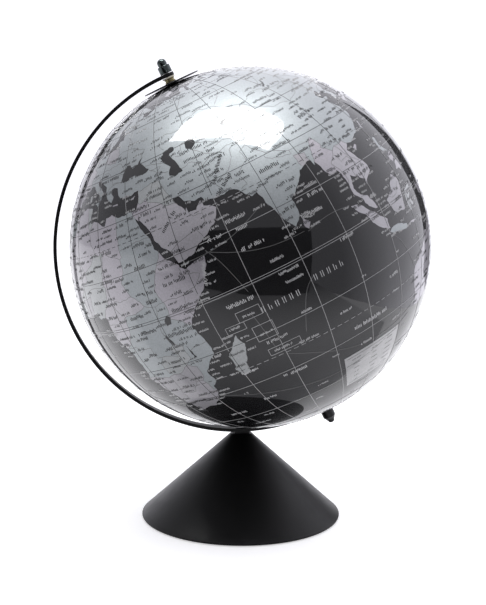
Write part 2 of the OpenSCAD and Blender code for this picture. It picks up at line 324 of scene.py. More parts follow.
AFRICA = [
    (-6, 36), (-2, 35), (3, 37), (10, 37.3), (11, 37), (10.3, 34.5), (11.5, 33), (15, 32.3),
    (19, 30.3), (20, 32.5), (23, 32.8), (25, 31.7), (29, 31), (31, 31.5), (32.3, 31.2),
    (32.5, 30), (33.6, 27.8), (35.5, 24), (37.2, 21), (37.4, 18.7), (39.5, 15.5), (43.2, 12.2),
    (43.2, 11.5), (44.5, 10.4), (47, 11.1), (51.2, 11.9), (50.8, 9.5), (49, 6.5), (47.5, 4),
    (45, 2), (42, -1), (40.2, -2.8), (39, -5), (39.5, -7.5), (40.5, -10.5), (40.7, -15),
    (37, -17.8), (34.8, -20), (35.5, -23.5), (33, -25.5), (32.5, -28.5), (30, -31.5),
    (27, -33.8), (22, -34), (20, -34.8), (18.3, -34), (18, -32), (16.5, -28.7), (14.5, -23),
    (11.8, -17.5), (13.5, -12), (12.2, -6), (9.5, -2.5), (9.3, 0.5), (9.7, 4), (8.5, 4.7),
    (6, 4.3), (4, 6.4), (0, 5.5), (-3, 5), (-7.5, 4.4), (-11, 6.8), (-13.3, 9), (-15, 11),
    (-16.7, 12.5), (-17.4, 14.7), (-16.3, 18), (-17, 21), (-14.5, 26), (-11.5, 28.3),
    (-9.8, 30.5), (-7, 33.8),
]
EURASIA = [
    (-5.5, 36), (-9, 37), (-9.5, 38.8), (-8.8, 42), (-9, 43.2), (-4, 43.5), (-1.5, 43.5),
    (-1.2, 46), (-2.5, 47.3), (-4.7, 48.3), (-1.5, 48.7), (-1.5, 49.7), (0.2, 49.6), (1.6, 50.8),
    (4, 52), (5, 53.3), (8.3, 53.8), (8.2, 56.8), (10.5, 57.6), (10, 55), (11, 54), (14, 54),
    (18.5, 54.8), (21, 55.2), (21.2, 57.2), (24, 57.3), (23.5, 59.2), (28, 59.6), (30, 60),
    (25, 60.1), (22.5, 60.2), (21.3, 61.5), (21.5, 63), (25.3, 65), (22, 65.7), (17.5, 62),
    (17.2, 60.7), (18.7, 59.8), (16.5, 57), (14.2, 55.4), (12.8, 55.5), (11.2, 59), (8, 58),
    (5.5, 58.9), (5, 62), (9, 63.5), (13, 66.5), (17, 69), (22, 70.3), (27.5, 71), (31, 70.3),
    (36, 69), (41, 67), (39, 66), (34, 66.6), (35, 64.3), (38, 64), (40.5, 65), (43.8, 66.2),
    (44, 68.4), (47, 67), (53, 68.7), (60, 69), (67, 69), (66.8, 71), (69.5, 73), (72.8, 72.5),
    (72, 69), (74, 68), (75, 72), (81, 73.5), (87, 75), (98, 76.5), (104, 77.6), (113, 74),
    (119, 73), (127, 73.5), (130, 71), (140, 72.7), (150, 71.5), (160, 69.7), (170, 70),
    (180, 69), (190, 66.3), (182, 65.5), (179, 62.5), (170, 60), (164, 60), (162, 58),
    (162.5, 56), (160, 53.2), (156.7, 51), (155.7, 56), (160, 60.5), (164, 62.5), (156, 61.6),
    (152, 59), (143, 59.3), (135.5, 54.8), (140.5, 53), (140.5, 48.5), (135, 43.5), (131, 43),
    (129.5, 40.8), (127.5, 39.5), (129.4, 37), (129, 35.2), (126.4, 34.5), (126.8, 37),
    (125, 38), (124.5, 40), (121.5, 39), (121.5, 40.8), (118, 39), (119, 37.2), (122.5, 37),
    (119.3, 35), (121.8, 31.8), (121.8, 29), (119, 25.5), (116.5, 23), (113.5, 22.2),
    (110.3, 21), (108, 21.5), (106, 19.5), (107.5, 16.5), (109.3, 13), (109, 11.5),
    (106.8, 10.3), (104.8, 8.6), (105, 10.3), (102.5, 12), (100.8, 13.3), (99.8, 11),
    (99.3, 9.5), (100.5, 7), (102.5, 6), (103.5, 4), (104.2, 1.4), (103.4, 1.4), (101.3, 3),
    (100.3, 6), (98.3, 8), (98.6, 11), (97.6, 16.3), (95.3, 15.8), (94.3, 17), (93.5, 20),
    (91.8, 22.5), (88.5, 21.7), (87, 21.3), (86.3, 20), (82.3, 16.6), (80.2, 15.3), (80.2, 13),
    (79.9, 10.3), (78.2, 8.9), (77.5, 8.1), (76.3, 10), (74.8, 13), (73.3, 17), (72.7, 20),
    (72.3, 21.3), (70.5, 20.9), (69, 22.3), (68.2, 23.7), (66.7, 25), (61.7, 25.1),
    (57.3, 25.7), (56.8, 27), (54.5, 26.7), (51.5, 27.8), (50, 30), (48, 30), (48.3, 28.5),
    (50, 26.7), (50.8, 24.8), (51.3, 26), (51.5, 24.3), (54, 24.2), (56.3, 26.2), (56.5, 24.4),
    (59.8, 22.5), (57.8, 19), (55, 17.3), (52, 15.6), (45, 12.8), (43.4, 12.7), (42.2, 16.5),
    (38.3, 21.1), (34.8, 28), (34.8, 29.5), (34.3, 27.9), (32.8, 29.8), (32.5, 31.2), (34.4, 31.5),
    (35.9, 35), (36, 36.8), (32.5, 36.1), (30.6, 36.8), (27.5, 36.8), (26.3, 39), (26.2, 40.2),
    (24, 40.9), (22.8, 40.5), (23, 39), (24, 38), (22.8, 36.5), (21.3, 37.5), (19.4, 41),
    (19.5, 42), (15, 44.5), (13.7, 45.5), (12.4, 45), (13.6, 43.5), (16, 41.8), (18.4, 40),
    (17, 40.3), (16.5, 39), (15.8, 38), (15.6, 40), (12.3, 41.8), (10.3, 43.9), (8.5, 44.3),
    (6, 43), (3.2, 43.2), (3, 41.9), (0.3, 40.2), (-0.3, 38.8), (-2, 36.8), (-4.5, 36.6),
]
NORTH_AMERICA = [
    (-168, 65.6), (-166, 68.4), (-156.5, 71.3), (-141, 69.7), (-128, 70), (-115, 68),
    (-108, 68), (-96, 68.3), (-94, 72), (-90, 69), (-82, 69.5), (-85, 66.5), (-94, 61),
    (-94.5, 58.8), (-92.5, 57), (-82.3, 55.2), (-80, 51.3), (-79, 54.5), (-76.7, 57.5),
    (-78, 62.3), (-70, 61), (-65, 59), (-61.5, 56.5), (-56, 52.5), (-60, 50.2), (-66.5, 50.2),
    (-65, 48.5), (-64.5, 46.3), (-61, 45.6), (-66, 43.6), (-70, 43.6), (-70, 41.7), (-74, 40.6),
    (-75.7, 36.5), (-77.5, 34.3), (-81.2, 31.5), (-80.2, 26.5), (-81, 25.2), (-82.7, 28),
    (-84, 30), (-89.5, 30.2), (-90, 29.1), (-94.5, 29.4), (-97.3, 27), (-97.7, 22),
    (-95.5, 18.5), (-91.5, 18.5), (-90.3, 21), (-87, 21.5), (-88.3, 16), (-83.3, 15),
    (-83.6, 11), (-80, 9.2), (-78, 8.9), (-80.3, 7.4), (-83.5, 8.5), (-86, 10.5), (-87.5, 13),
    (-94, 16.2), (-100, 17), (-105.5, 20.2), (-109, 25.7), (-112.8, 31), (-114.7, 31),
    (-111, 25), (-110, 23), (-112.2, 24.8), (-115, 29.5), (-117.2, 33), (-120.6, 34.6),
    (-124, 40.3), (-124.3, 46), (-123, 48.5), (-128, 51), (-131, 55), (-137, 58.5),
    (-146, 60.7), (-152, 59.5), (-158, 56.5), (-164, 54.8), (-158, 58.5), (-164.5, 60.2),
    (-165, 62.5), (-161, 64.5),
]
SOUTH_AMERICA = [
    (-77.5, 8.5), (-75.5, 10.7), (-72, 12), (-68, 10.7), (-62, 10.7), (-57, 6), (-51.5, 4.5),
    (-50, 0.5), (-44, -2.7), (-37, -4.8), (-35, -7.5), (-39, -13), (-39.5, -18), (-41.5, -22.3),
    (-48, -25.7), (-49, -29), (-53.5, -34), (-57, -36.3), (-57.7, -38.2), (-62.2, -39),
    (-65, -41.5), (-67.5, -46), (-69, -50.5), (-68, -53), (-67, -55.3), (-73, -53), (-75.5, -48),
    (-73.5, -41), (-73.5, -37), (-71.5, -30), (-70.3, -19), (-76, -14), (-81, -6), (-80, -3),
    (-80, 0.8), (-77.5, 4), (-77.7, 7.5),
]
AUSTRALIA = [
    (114, -22), (113.5, -25.5), (115.5, -31), (115, -34.3), (118, -35), (123.5, -34),
    (129, -31.7), (132, -32), (135.5, -35), (138, -33), (138.5, -35.6), (140.5, -38),
    (143.5, -38.8), (147, -38.5), (150, -37.5), (153, -31.5), (153.3, -26), (150.8, -23.5),
    (146.3, -19), (145.3, -15), (142.5, -10.8), (141, -14), (140.8, -17.5), (136.5, -15.5),
    (136.7, -12.2), (132.5, -11.5), (129.5, -15), (126, -14), (122.2, -18), (118, -20.3),
]
ANTARCTICA = [
    (-180, -78), (-160, -78), (-148, -76), (-130, -74.5), (-100, -72.5), (-75, -73), (-67, -67),
    (-58, -63.5), (-61, -68), (-62, -75), (-40, -78), (-25, -75), (-10, -71), (15, -69.5),
    (35, -69.5), (50, -66.5), (70, -69), (90, -66.5), (115, -66.5), (140, -66.7), (155, -69),
    (170, -72), (165, -78), (180, -78), (180, -87.8), (-180, -87.8),
]
ISLANDS = [
    # Britain, Ireland, Iceland, Svalbard, Novaya Zemlya, Severnaya Zemlya
    [(-5.5, 50.1), (1.3, 51.1), (1.7, 52.7), (-0.2, 54.3), (-1.8, 55.8), (-2, 57.5),
     (-3.2, 58.6), (-5, 58.5), (-6, 56.5), (-4.8, 54.8), (-3, 53.6), (-4.5, 53.2), (-5, 51.8),
     (-3, 51.4)],
    [(-10, 52), (-6.3, 52.2), (-5.7, 54.6), (-8.3, 55.2), (-10, 54)],
    [(-24, 65.5), (-22, 64), (-18.5, 63.5), (-14, 65), (-16, 66.5), (-21, 66)],
    [(11, 79), (16, 76.7), (22, 78.3), (27, 80), (17, 80)],
    [(52, 71.5), (56, 70.7), (57.5, 72), (68, 76.8), (61, 76.2), (54.5, 74)],
    [(95, 79), (103, 78.3), (105, 79), (98, 80.8)],
    # Greenland
    [(-73, 78.3), (-68, 76), (-58, 75.5), (-54, 70.5), (-53, 67), (-48, 61), (-43, 60),
     (-40, 65), (-32, 68), (-22, 71.5), (-19, 76), (-18, 80), (-30, 83.5), (-45, 82.8),
     (-66, 80.8)],
    # Sicily, Sardinia, Crete, Cyprus
    [(12.5, 38), (15.5, 38.2), (15.1, 36.8)],
    [(8.3, 39), (9.6, 39.3), (9.5, 41.2), (8.3, 41)],
    [(23.6, 35.5), (26.3, 35.3), (26, 34.9), (23.7, 35.1)],
    [(32.3, 35), (34.5, 35.6), (33.5, 34.7)],
    # Madagascar, Sri Lanka, Socotra
    [(49.3, -12), (50.4, -15.5), (49.5, -18), (47, -25), (45, -25.5), (43.4, -22.5),
     (44.3, -20), (44, -17.5), (46, -15.8), (48, -13.5)],
    [(79.8, 8), (80.2, 9.8), (81.8, 7.5), (80.6, 6), (79.9, 6.8)],
    [(53.3, 12.6), (54.5, 12.6), (53.7, 12.3)],
    # Sumatra, Java, Borneo, Sulawesi, the lesser Sunda islands, Timor
    [(95.3, 5.6), (97.5, 5.2), (100.5, 2.2), (103.5, -1), (106, -3), (105.8, -5.8),
     (102.3, -4), (98.7, 1.7), (97, 3)],
    [(105.2, -6.7), (106.5, -6), (110.8, -6.4), (114.4, -7.7), (114.4, -8.7), (108, -7.8)],
    [(109, 1.5), (111.4, 2.5), (113, 3.2), (117, 7), (119.2, 5.2), (117.8, 1), (116, -4),
     (111.7, -3.5), (110, -1.5)],
    [(119.5, -5.5), (118.8, -2.8), (120, 0.7), (125, 1.5), (124, 0.4), (120.3, 0.4), (121, -1),
     (123.4, -0.8), (121.6, -2), (123, -4.5), (121.5, -4.5), (120.8, -2.7), (120.4, -5.6)],
    [(115, -8.3), (119, -8.3), (123, -8.4), (119, -9)],
    [(123.5, -10.3), (127, -8.4), (125, -9.3)],
    # New Guinea, Luzon, the Visayas, Mindanao, Taiwan, Hainan
    [(131, -0.8), (134, -0.8), (135, -3.3), (138, -1.7), (145, -4.2), (147.8, -6),
     (150.8, -10.5), (147, -9.5), (143, -9), (139, -8), (138, -5.5), (133, -4), (132, -2.8)],
    [(120.3, 16.2), (120.6, 18.5), (122.2, 18.4), (121.5, 15.8), (124, 13), (121, 13.7),
     (120.2, 14.8)],
    [(122, 11.7), (125, 12.5), (125, 10.2), (123, 9.3), (122, 10.6)],
    [(122, 7), (123.5, 8.7), (125.5, 9.8), (126.4, 7), (125.3, 5.7), (124, 7)],
    [(120.1, 23), (121.5, 25.3), (122, 25), (120.9, 22)],
    [(108.7, 19.3), (110.5, 20), (111, 19.6), (109.5, 18.2)],
    # Honshu, Kyushu with Shikoku, Hokkaido, Sakhalin
    [(131, 34), (133, 35.5), (136.8, 37.2), (139.5, 38.5), (140, 40.5), (141.3, 41.4),
     (142, 39.5), (140.8, 35.7), (138.5, 34.6), (135.7, 33.5), (132.5, 34)],
    [(129.7, 33), (131, 33.9), (134.5, 34.2), (134, 33.3), (132, 32.8), (130.7, 31.1)],
    [(140, 41.5), (141.7, 45.4), (145.3, 43.3), (143, 42), (141, 42.5)],
    [(142, 46), (142, 54), (143, 54.3), (144.5, 49), (143, 46.5)],
    # Tasmania, New Zealand, New Caledonia
    [(144.7, -41), (148.3, -41), (147.9, -43.2), (146, -43.5)],
    [(173, -34.5), (175.5, -36.7), (178.3, -37.7), (177, -39.5), (175, -41.5), (173.8, -39.3),
     (174.7, -37.5)],
    [(172.7, -40.6), (174.2, -41.8), (171.2, -44.5), (168.5, -46.6), (166.5, -46), (170.5, -43)],
    [(164, -20.2), (167, -22.3), (165, -21.6)],
    # Cuba, Hispaniola, Newfoundland, Baffin, Victoria, Banks, Ellesmere, the Arctic isles
    [(-84.5, 22), (-81, 23.2), (-74.3, 20.2), (-77.5, 20), (-78, 21)],
    [(-74.3, 18.4), (-73, 19.9), (-68.5, 18.6)],
    [(-59.2, 47.7), (-56, 51.5), (-53, 47), (-55.5, 47)],
    [(-88, 73.5), (-80, 73.7), (-68, 70), (-62, 66.5), (-65, 62.5), (-73, 65), (-78, 70)],
    [(-117, 70), (-117, 73), (-105, 73), (-102, 69)],
    [(-125, 72), (-122, 74.3), (-116, 73)],
    [(-90, 77), (-95, 80.5), (-75, 83), (-62, 82.4), (-78, 76.5)],
    [(-110, 75), (-105, 76.5), (-98, 76), (-98, 75)],
]
LAKES = [
    # The Black Sea, the Caspian, the Aral Sea
    [(28, 42), (28.7, 44), (30.8, 46.4), (32.6, 46), (33.6, 44.5), (36.5, 45.2), (39, 47.2),
     (37.6, 45.2), (39.5, 43.6), (41.5, 42), (38.5, 41), (35, 42), (31.5, 41.3), (29, 41.2)],
    [(47.6, 42), (47, 43.6), (48.9, 45.3), (51.5, 45.9), (53.2, 45.5), (53.1, 44.3),
     (51.1, 43.9), (50.7, 43.2), (52.4, 40.9), (53.1, 39.2), (54.1, 36.6), (51.1, 36),
     (49.1, 36.9), (49.5, 38.6), (50.3, 39.5), (48.8, 40.9)],
    [(57.7, 43.1), (57.9, 44.9), (59.6, 45.7), (61.6, 45.2), (62, 43.7), (60.6, 42.5),
     (58.8, 42.3)],
    # Balkhash, Baikal, Ladoga, Victoria, Tanganyika, Malawi
    [(74, 45.8), (76, 46.7), (79, 46.6), (76.5, 46.2), (74.5, 45)],
    [(104, 51.5), (107, 53), (109.5, 55.7), (108, 53), (105.5, 51.6)],
    [(30.5, 60), (30.5, 61.5), (32, 61.3), (32.5, 60.2)],
    [(31.8, -0.8), (33, 0.4), (34.2, -0.5), (33.5, -2.3), (32, -2.5)],
    [(29.2, -3.5), (30, -5.5), (31, -8.5), (30.4, -8.5), (29.4, -6)],
    [(34, -9.7), (34.8, -12), (35.2, -14.2), (34.5, -14), (34.2, -11.5)],
    # Superior, Michigan, Huron, Erie, Ontario, Great Bear, Great Slave, Winnipeg
    [(-92, 46.8), (-88, 48.8), (-84.6, 46.6), (-88, 46.9)],
    [(-87.7, 42), (-87.5, 44.8), (-85.2, 45.8), (-86.3, 44), (-86.7, 42)],
    [(-84, 46), (-81, 45.7), (-81.7, 43.3), (-83.5, 44)],
    [(-83, 41.7), (-79, 42.8), (-80.5, 42)],
    [(-79.5, 43.4), (-76.3, 44), (-77, 43.3)],
    [(-124, 66), (-120, 66.8), (-118, 65.5)],
    [(-116, 61.2), (-110, 62.5), (-113, 62)],
    [(-99, 53.5), (-97, 52), (-96.5, 50.5), (-98, 51.5)],
]
AFRICA_BORDERS = [
    [(-2, 35.5), (-1.5, 32.5), (-5.5, 30), (-8.7, 28.7), (-8.7, 26), (-12, 26), (-12, 23.4),
     (-13, 21.3), (-17.5, 21.3)],
    [(-8.7, 27.3), (-4.8, 25), (1.8, 20.6), (3.2, 19), (5.8, 19.5), (12, 23.5), (10, 26.5),
     (9.5, 30.3), (8.3, 33), (8.2, 36.5), (8.6, 37.6)],
    [(9.5, 30.3), (11.5, 32.5), (11.6, 33.5)],
    [(-4.8, 25), (-6.5, 25), (-5.5, 15.5), (-11.5, 15.5), (-17, 16)],
    [(12, 23.5), (14.2, 22.5), (15.9, 23.4), (24, 19.5), (25, 20), (25, 32.5)],
    [(25, 22), (37.3, 22)],
    [(24, 19.5), (24, 15.7), (22, 13), (22.8, 11), (24, 8.7), (27.4, 5)],
    [(15.9, 23.4), (15.5, 20), (13.5, 14), (14.2, 12.8), (15.2, 9.5), (18.5, 8), (24, 8.7)],
    [(2.7, 6), (2.7, 9), (3.5, 11.7), (4, 13.5), (13.5, 13.6)],
    [(3.2, 19), (4, 16.5), (0.2, 15), (-5.5, 10.5), (-8, 10.2), (-11.5, 12.3), (-17, 12.4)],
    [(14.2, 12.8), (13, 8), (10.5, 7), (8.5, 4.3)],
    [(-2.8, 4.8), (-2.8, 11), (3.5, 11.7)],
    [(15.2, 7.5), (18.5, 3.5), (27.4, 5), (31, 3.8), (36, 4.5)],
    [(9.5, 2.3), (16, 2), (18.5, 3.5), (17.8, 0), (16, -3), (15, -4.8), (12, -6)],
    [(13, -5.9), (16.5, -6), (17, -8), (22, -7.3), (22, -11), (24, -11), (22, -13), (22, -16.3),
     (23.5, -17.6), (11.3, -17.3)],
    [(24, -11), (29.5, -12.3), (28.5, -9), (31, -8.3), (33, -9.5), (33, -14), (30.4, -15.6)],
    [(31, 3.8), (29.8, 0), (29, -4), (30.7, -8.3)],
    [(34.2, 4.4), (34, -1), (37.5, -3), (39.5, -4.8)],
    [(34, 4.2), (33, 8), (34.2, 10.6), (36.5, 14.3), (38.8, 18)],
    [(36.5, 14.3), (40, 14.5), (42.6, 12.4)],
    [(36, 4.5), (41, 4), (45, 5), (48, 8), (43, 9.5), (42.8, 11.5)],
    [(41, 4), (41, -2)],
    [(34.6, -11.5), (40.7, -10.6)],
    [(25.3, -17.8), (30.4, -15.6), (33, -17), (32.5, -21.3), (31.3, -22.4), (29, -22.2),
     (25.3, -17.8), (23.5, -17.6)],
    [(21, -18.3), (21, -22), (20, -24.8), (25.5, -25.7), (29, -22.2)],
    [(20, -24.8), (20, -28.4), (16.2, -28.6)],
    [(31.3, -22.4), (32, -26.8), (33.2, -26.8)],
]
EURASIA_BORDERS = [
    [(35.8, 36.3), (42.5, 37.2), (44.5, 37), (44.5, 39.8), (41.5, 41.4)],
    [(42.3, 37.2), (41, 34.4), (38.8, 33.4), (36, 32.5), (35, 33.2)],
    [(34.8, 29.3), (37.5, 30), (39, 32), (42, 31), (44.7, 29.2), (48.6, 28.5)],
    [(38.8, 33.4), (39, 32)],
    [(44.5, 37), (46, 33.5), (48, 30)],
    [(42.5, 16.4), (44.5, 17.4), (49, 18.7), (52, 19), (53, 16)],
    [(52, 19), (55, 20), (55.2, 22.7), (56, 24.2)],
    [(51.5, 24), (52.5, 22.9), (55.2, 22.7)],
    [(40, 43.4), (44, 42.6), (48.5, 41.8)],
    [(41.5, 41.4), (45, 41.3), (46.5, 41), (44.8, 39.7), (48.9, 38.4)],
    [(53.9, 37.3), (57, 38.2), (61.2, 36.6), (61, 34), (60.8, 31.5), (61.5, 29.4), (63.3, 27.2),
     (61.6, 24.8)],
    [(60.9, 29.8), (66.3, 29.9), (69.3, 31.9), (71, 34), (71.5, 36.3), (74.8, 37.2)],
    [(61.2, 35.4), (64.5, 37.2), (68, 37), (71.5, 38), (74.8, 37.3), (73.8, 39.5), (71, 40.3),
     (67.8, 39.5)],
    [(53, 42), (56, 41.3), (58.6, 42.7), (62, 40), (66.6, 37.4)],
    [(56, 41.3), (56, 45), (58.5, 45.5), (62, 43.5), (66, 42), (68, 41), (71, 42.2), (76, 42.9),
     (80.2, 42), (74, 39.5)],
    [(49, 46), (47, 48.5), (50, 51.5), (58, 51), (61, 53.5), (70, 55.2), (77, 53.5), (80, 51),
     (87.3, 49.1), (83, 47.2), (80.5, 45), (80.2, 42)],
    [(87.3, 49.1), (91, 45.2), (96.4, 42.7), (105, 41.6), (112, 43.5), (116, 46.5),
     (119.8, 46.8), (116.5, 49.8)],
    [(87.7, 49.1), (98, 52), (107, 49.8), (116.5, 49.8), (120, 53.2), (126.5, 51.5),
     (131, 47.8), (135, 48.4), (131, 44.5), (130.6, 42)],
    [(68, 23.8), (71, 24.5), (70, 28), (74.5, 31), (74, 34.3), (77, 35.5), (74.8, 37)],
    [(77, 35.5), (79, 32.5), (81, 30.3), (88, 27.9), (92, 27.8), (97, 28.3)],
    [(80.2, 30), (80.2, 29), (84, 27.4), (88, 26.5), (88.1, 27.9)],
    [(88.9, 21), (88.2, 25.8), (92, 25.2), (91.5, 23.3), (92.3, 20.5)],
    [(97, 28.3), (94.5, 25), (93.3, 22), (92.3, 20.5)],
    [(97, 28.3), (98.7, 25), (98, 24), (101, 21.6), (100, 20.4), (97.4, 18.5), (98.8, 16),
     (99.2, 12), (98, 10)],
    [(101, 21.6), (103, 22.6), (106.7, 22.8), (108, 21)],
    [(100.4, 20.3), (101, 17.6), (104, 18.3), (105.6, 15), (102.4, 13.6), (102.7, 11)],
    [(102.8, 22.4), (104, 19.5), (107.5, 15.5), (107.5, 12.2), (104, 10)],
    [(105.6, 14.3), (107.5, 14.5)],
    [(99.5, 6.5), (102.3, 6)],
    [(124, 40), (127, 41.5), (130.7, 42.3)],
    [(126, 37.8), (128.7, 38.5)],
    [(28, 60.2), (31.5, 62.8), (29.5, 68), (31, 70)],
    [(11, 59), (12, 62), (14, 65), (18, 68.3), (24, 68.7), (28.5, 70.5)],
    [(24, 65.5), (20.5, 69.1)],
    [(28, 59.3), (27.5, 57.5), (31, 55.5), (32.5, 53.3), (31.8, 52), (24, 51.6)],
    [(31.8, 52.1), (35, 51.2), (40, 49.6), (38, 46.8)],
    [(14.4, 54.3), (14.8, 51), (18.8, 49.5), (22.6, 49.2), (24, 51.6), (22.8, 54.4),
     (19.6, 55)],
    [(2.3, 51.3), (6.2, 49.5), (8.2, 49), (7.6, 47.6), (6, 46.3), (7, 44), (7.6, 43.4)],
    [(7, 53.9), (6.2, 51.5), (6.2, 49.5)],
    [(7.6, 47.6), (13, 47.5), (17, 48.1), (22.6, 48.2), (27, 48), (29.5, 45)],
    [(7, 45.9), (12.3, 46.8), (13.7, 45)],
    [(16.4, 46.7), (20.3, 46.1), (22.5, 44.3), (29, 43.7)],
    [(22.5, 44.3), (22.8, 42), (29, 42)],
    [(19.8, 39.6), (21, 41), (26.4, 41.8)],
    [(-2.2, 43.6), (3.4, 42.4)],
    [(-9, 41.9), (-6.5, 41.8), (-7.3, 36.8)],
    [(60, 69), (66, 67), (60, 60), (60, 54)],
    [(86, 74), (84, 66), (86, 60), (78, 54)],
    [(110, 73), (106, 66), (112, 60), (104, 52)],
]
AMERICA_BORDERS = [
    [(-123, 49), (-95, 49), (-89, 48), (-84, 46.3), (-82.5, 43), (-79, 43), (-75, 45),
     (-71, 45.3), (-69, 47.3), (-67.3, 44.5)],
    [(-141, 70), (-141, 60.3), (-135, 59.5), (-130, 55.2)],
    [(-117.5, 32.5), (-111, 31.4), (-106.5, 31.8), (-101, 29.6), (-97, 25.9)],
    [(-92.5, 14), (-91, 17.8), (-89, 17.9), (-88, 15.8)],
    [(-141, 60), (-94, 60)],
    [(-110, 60), (-110, 49)],
    [(-101.5, 60), (-101.5, 49)],
    [(-120, 60), (-120, 54), (-114.5, 49)],
    [(-95.2, 49), (-95.2, 53), (-88, 57.5)],
    [(-79.5, 52), (-79.5, 47), (-75, 45.5)],
    [(-111, 49), (-111, 37)],
    [(-104, 49), (-104, 32)],
    [(-96.5, 49), (-96, 43), (-94.6, 39), (-94.5, 33), (-94, 29)],
    [(-125, 42), (-111, 42), (-96, 43)],
    [(-114.5, 37), (-94.6, 37), (-75, 36.5)],
    [(-91, 47), (-91, 42), (-90, 36), (-91, 30)],
    [(-91, 42), (-75, 42)],
    [(-72, 13), (-72.5, 8), (-67.5, 6), (-67, 1.2), (-61, 4.5), (-60, 5), (-59.8, 9)],
    [(-67, 1.2), (-70, -4.2), (-75, -0.1), (-79.5, 1.4)],
    [(-75, -0.1), (-81, -3.4)],
    [(-70, -4.2), (-73.5, -7.5), (-70.5, -11), (-69.5, -11), (-69, -17.5), (-71, -18.4)],
    [(-69.5, -11), (-65.3, -10), (-60.5, -14), (-57.7, -18), (-62.3, -20.5), (-62.6, -22.2),
     (-67, -22.5), (-68, -20), (-69, -17.5)],
    [(-67, -22.5), (-70, -31), (-71, -38), (-72, -45), (-73, -50), (-68, -52.3)],
    [(-62.6, -22.2), (-58, -25), (-58.5, -27.3), (-54.6, -25.6), (-54.2, -24), (-57.9, -22),
     (-57.7, -18)],
    [(-58.5, -27.3), (-57.8, -30.2), (-58.5, -34.5)],
    [(-57.8, -30.2), (-53, -33.7)],
    [(-61, 4.5), (-57, 1.9), (-57.2, 6.5)],
    [(-57, 1.9), (-54, 2.3), (-54, 6)],
    [(-54, 2.3), (-51, 4)],
]
AUSTRALIA_BORDERS = [
    [(129, -14), (129, -32)],
    [(138, -16), (138, -26), (129, -26)],
    [(138, -26), (141, -26), (141, -38.5)],
    [(141, -29), (154, -28.5)],
    [(141, -34), (147, -36), (150.5, -37.5)],
]
ISLAND_BORDERS = [
    [(109, 2.2), (112, 1.3), (115, 1.5), (118, 4.2)],
    [(141, -2), (141, -9.5)],
]

# ---------------------------------------------------------------------------
# Printing the map on the ball
# ---------------------------------------------------------------------------


def rough_line(points, seed, closed, wander=0.11, finest=1.1):
    """A coast or border: each stretch is halved and nudged sideways until it is short."""
    draw = random.Random(seed)

    def between(a, b):
        length = math.hypot((b[0] - a[0]) * math.cos(math.radians(a[1])), b[1] - a[1])
        if length < finest:
            return [a]
        off = draw.uniform(-wander, wander)
        middle = ((a[0] + b[0]) / 2 - (b[1] - a[1]) * off, (a[1] + b[1]) / 2 + (b[0] - a[0]) * off)
        return between(a, middle) + between(middle, b)

    ends = points[1:] + points[:1] if closed else points[1:]
    line = []
    for a, b in zip(points, ends):
        line += between(a, b)
    return line if closed else line + [points[-1]]


def inside(lon, lat, outline):
    """Which of the places lie inside an outline, by counting its crossings."""
    found = np.zeros(len(lon), bool)
    ring = np.asarray(outline, float)
    for (ax, ay), (bx, by) in zip(ring, np.roll(ring, -1, axis=0)):
        if ay == by:
            continue
        crosses = (ay > lat) != (by > lat)
        found ^= crosses & (lon < (bx - ax) * (lat - ay) / (by - ay) + ax)
    return found


def anticlockwise(outline):
    """The outline, turned round if it runs clockwise."""
    ring = np.asarray(outline, float)
    following = np.roll(ring, -1, axis=0)
    area = np.sum(ring[:, 0] * following[:, 1] - following[:, 0] * ring[:, 1])
    return outline if area > 0 else outline[::-1]


def fill_places(outlines, step):
    """Evenly spread places inside the outlines, so that a filled shape follows the ball."""
    places = []
    for outline in outlines:
        ring = np.asarray(outline)
        (west, south), (east, north) = ring.min(0), ring.max(0)
        for lat in np.arange(south + step / 2, north, step):
            count = max(2, int((east - west) * math.cos(math.radians(lat)) / step))
            lon = np.linspace(west, east, count, endpoint=False) + (east - west) / count / 2
            lats = np.full(count, lat)
            keep = inside(lon, lats, outline)
            places += list(zip(lon[keep], lats[keep]))
    return places


def triangulated(outlines, borders=(), step=2.0):
    """Triangles inside the outlines, with a number for each country between the borders."""
    points = []
    faces = []
    edges = []
    for outline in outlines:
        faces.append(list(range(len(points), len(points) + len(outline))))
        points += anticlockwise(outline)
    for line in borders:
        edges += [(i, i + 1) for i in range(len(points), len(points) + len(line) - 1)]
        points += line
    points += fill_places(outlines, step)
    flat = [Vector(p) for p in points]
    verts, out_edges, tris, _, sources, _ = delaunay_2d_cdt(flat, edges, faces, 1, 1e-4)
    fences = set()
    for edge, source in zip(out_edges, sources):
        if any(s < len(edges) for s in source):
            fences.add(frozenset(edge))
    return [(v.x, v.y) for v in verts], tris, countries(tris, fences)


def countries(tris, fences):
    """Numbers the groups of triangles that no border divides."""
    beside = {}
    for t, tri in enumerate(tris):
        for i in range(3):
            edge = frozenset((tri[i], tri[(i + 1) % 3]))
            if edge not in fences:
                beside.setdefault(edge, []).append(t)
    neighbours = [[] for _ in tris]
    for pair in beside.values():
        if len(pair) == 2:
            neighbours[pair[0]].append(pair[1])
            neighbours[pair[1]].append(pair[0])
    number = [-1] * len(tris)
    count = 0
    for first in range(len(tris)):
        if number[first] >= 0:
            continue
        waiting = [first]
        number[first] = count
        while waiting:
            for t in neighbours[waiting.pop()]:
                if number[t] < 0:
                    number[t] = count
                    waiting.append(t)
        count += 1
    return number


def slab_faces(tris, count):
    """Faces of a thin solid: a top, the same turned over count points on, and the rim."""
    used = {}
    for tri in tris:
        for i in range(3):
            edge = (tri[i], tri[(i + 1) % 3])
            used[frozenset(edge)] = None if frozenset(edge) in used else edge
    bottom = [tuple(i + count for i in tri[::-1]) for tri in tris]
    walls = [(a, b, b + count, a + count) for a, b in filter(None, used.values())]
    return list(tris) + bottom + walls


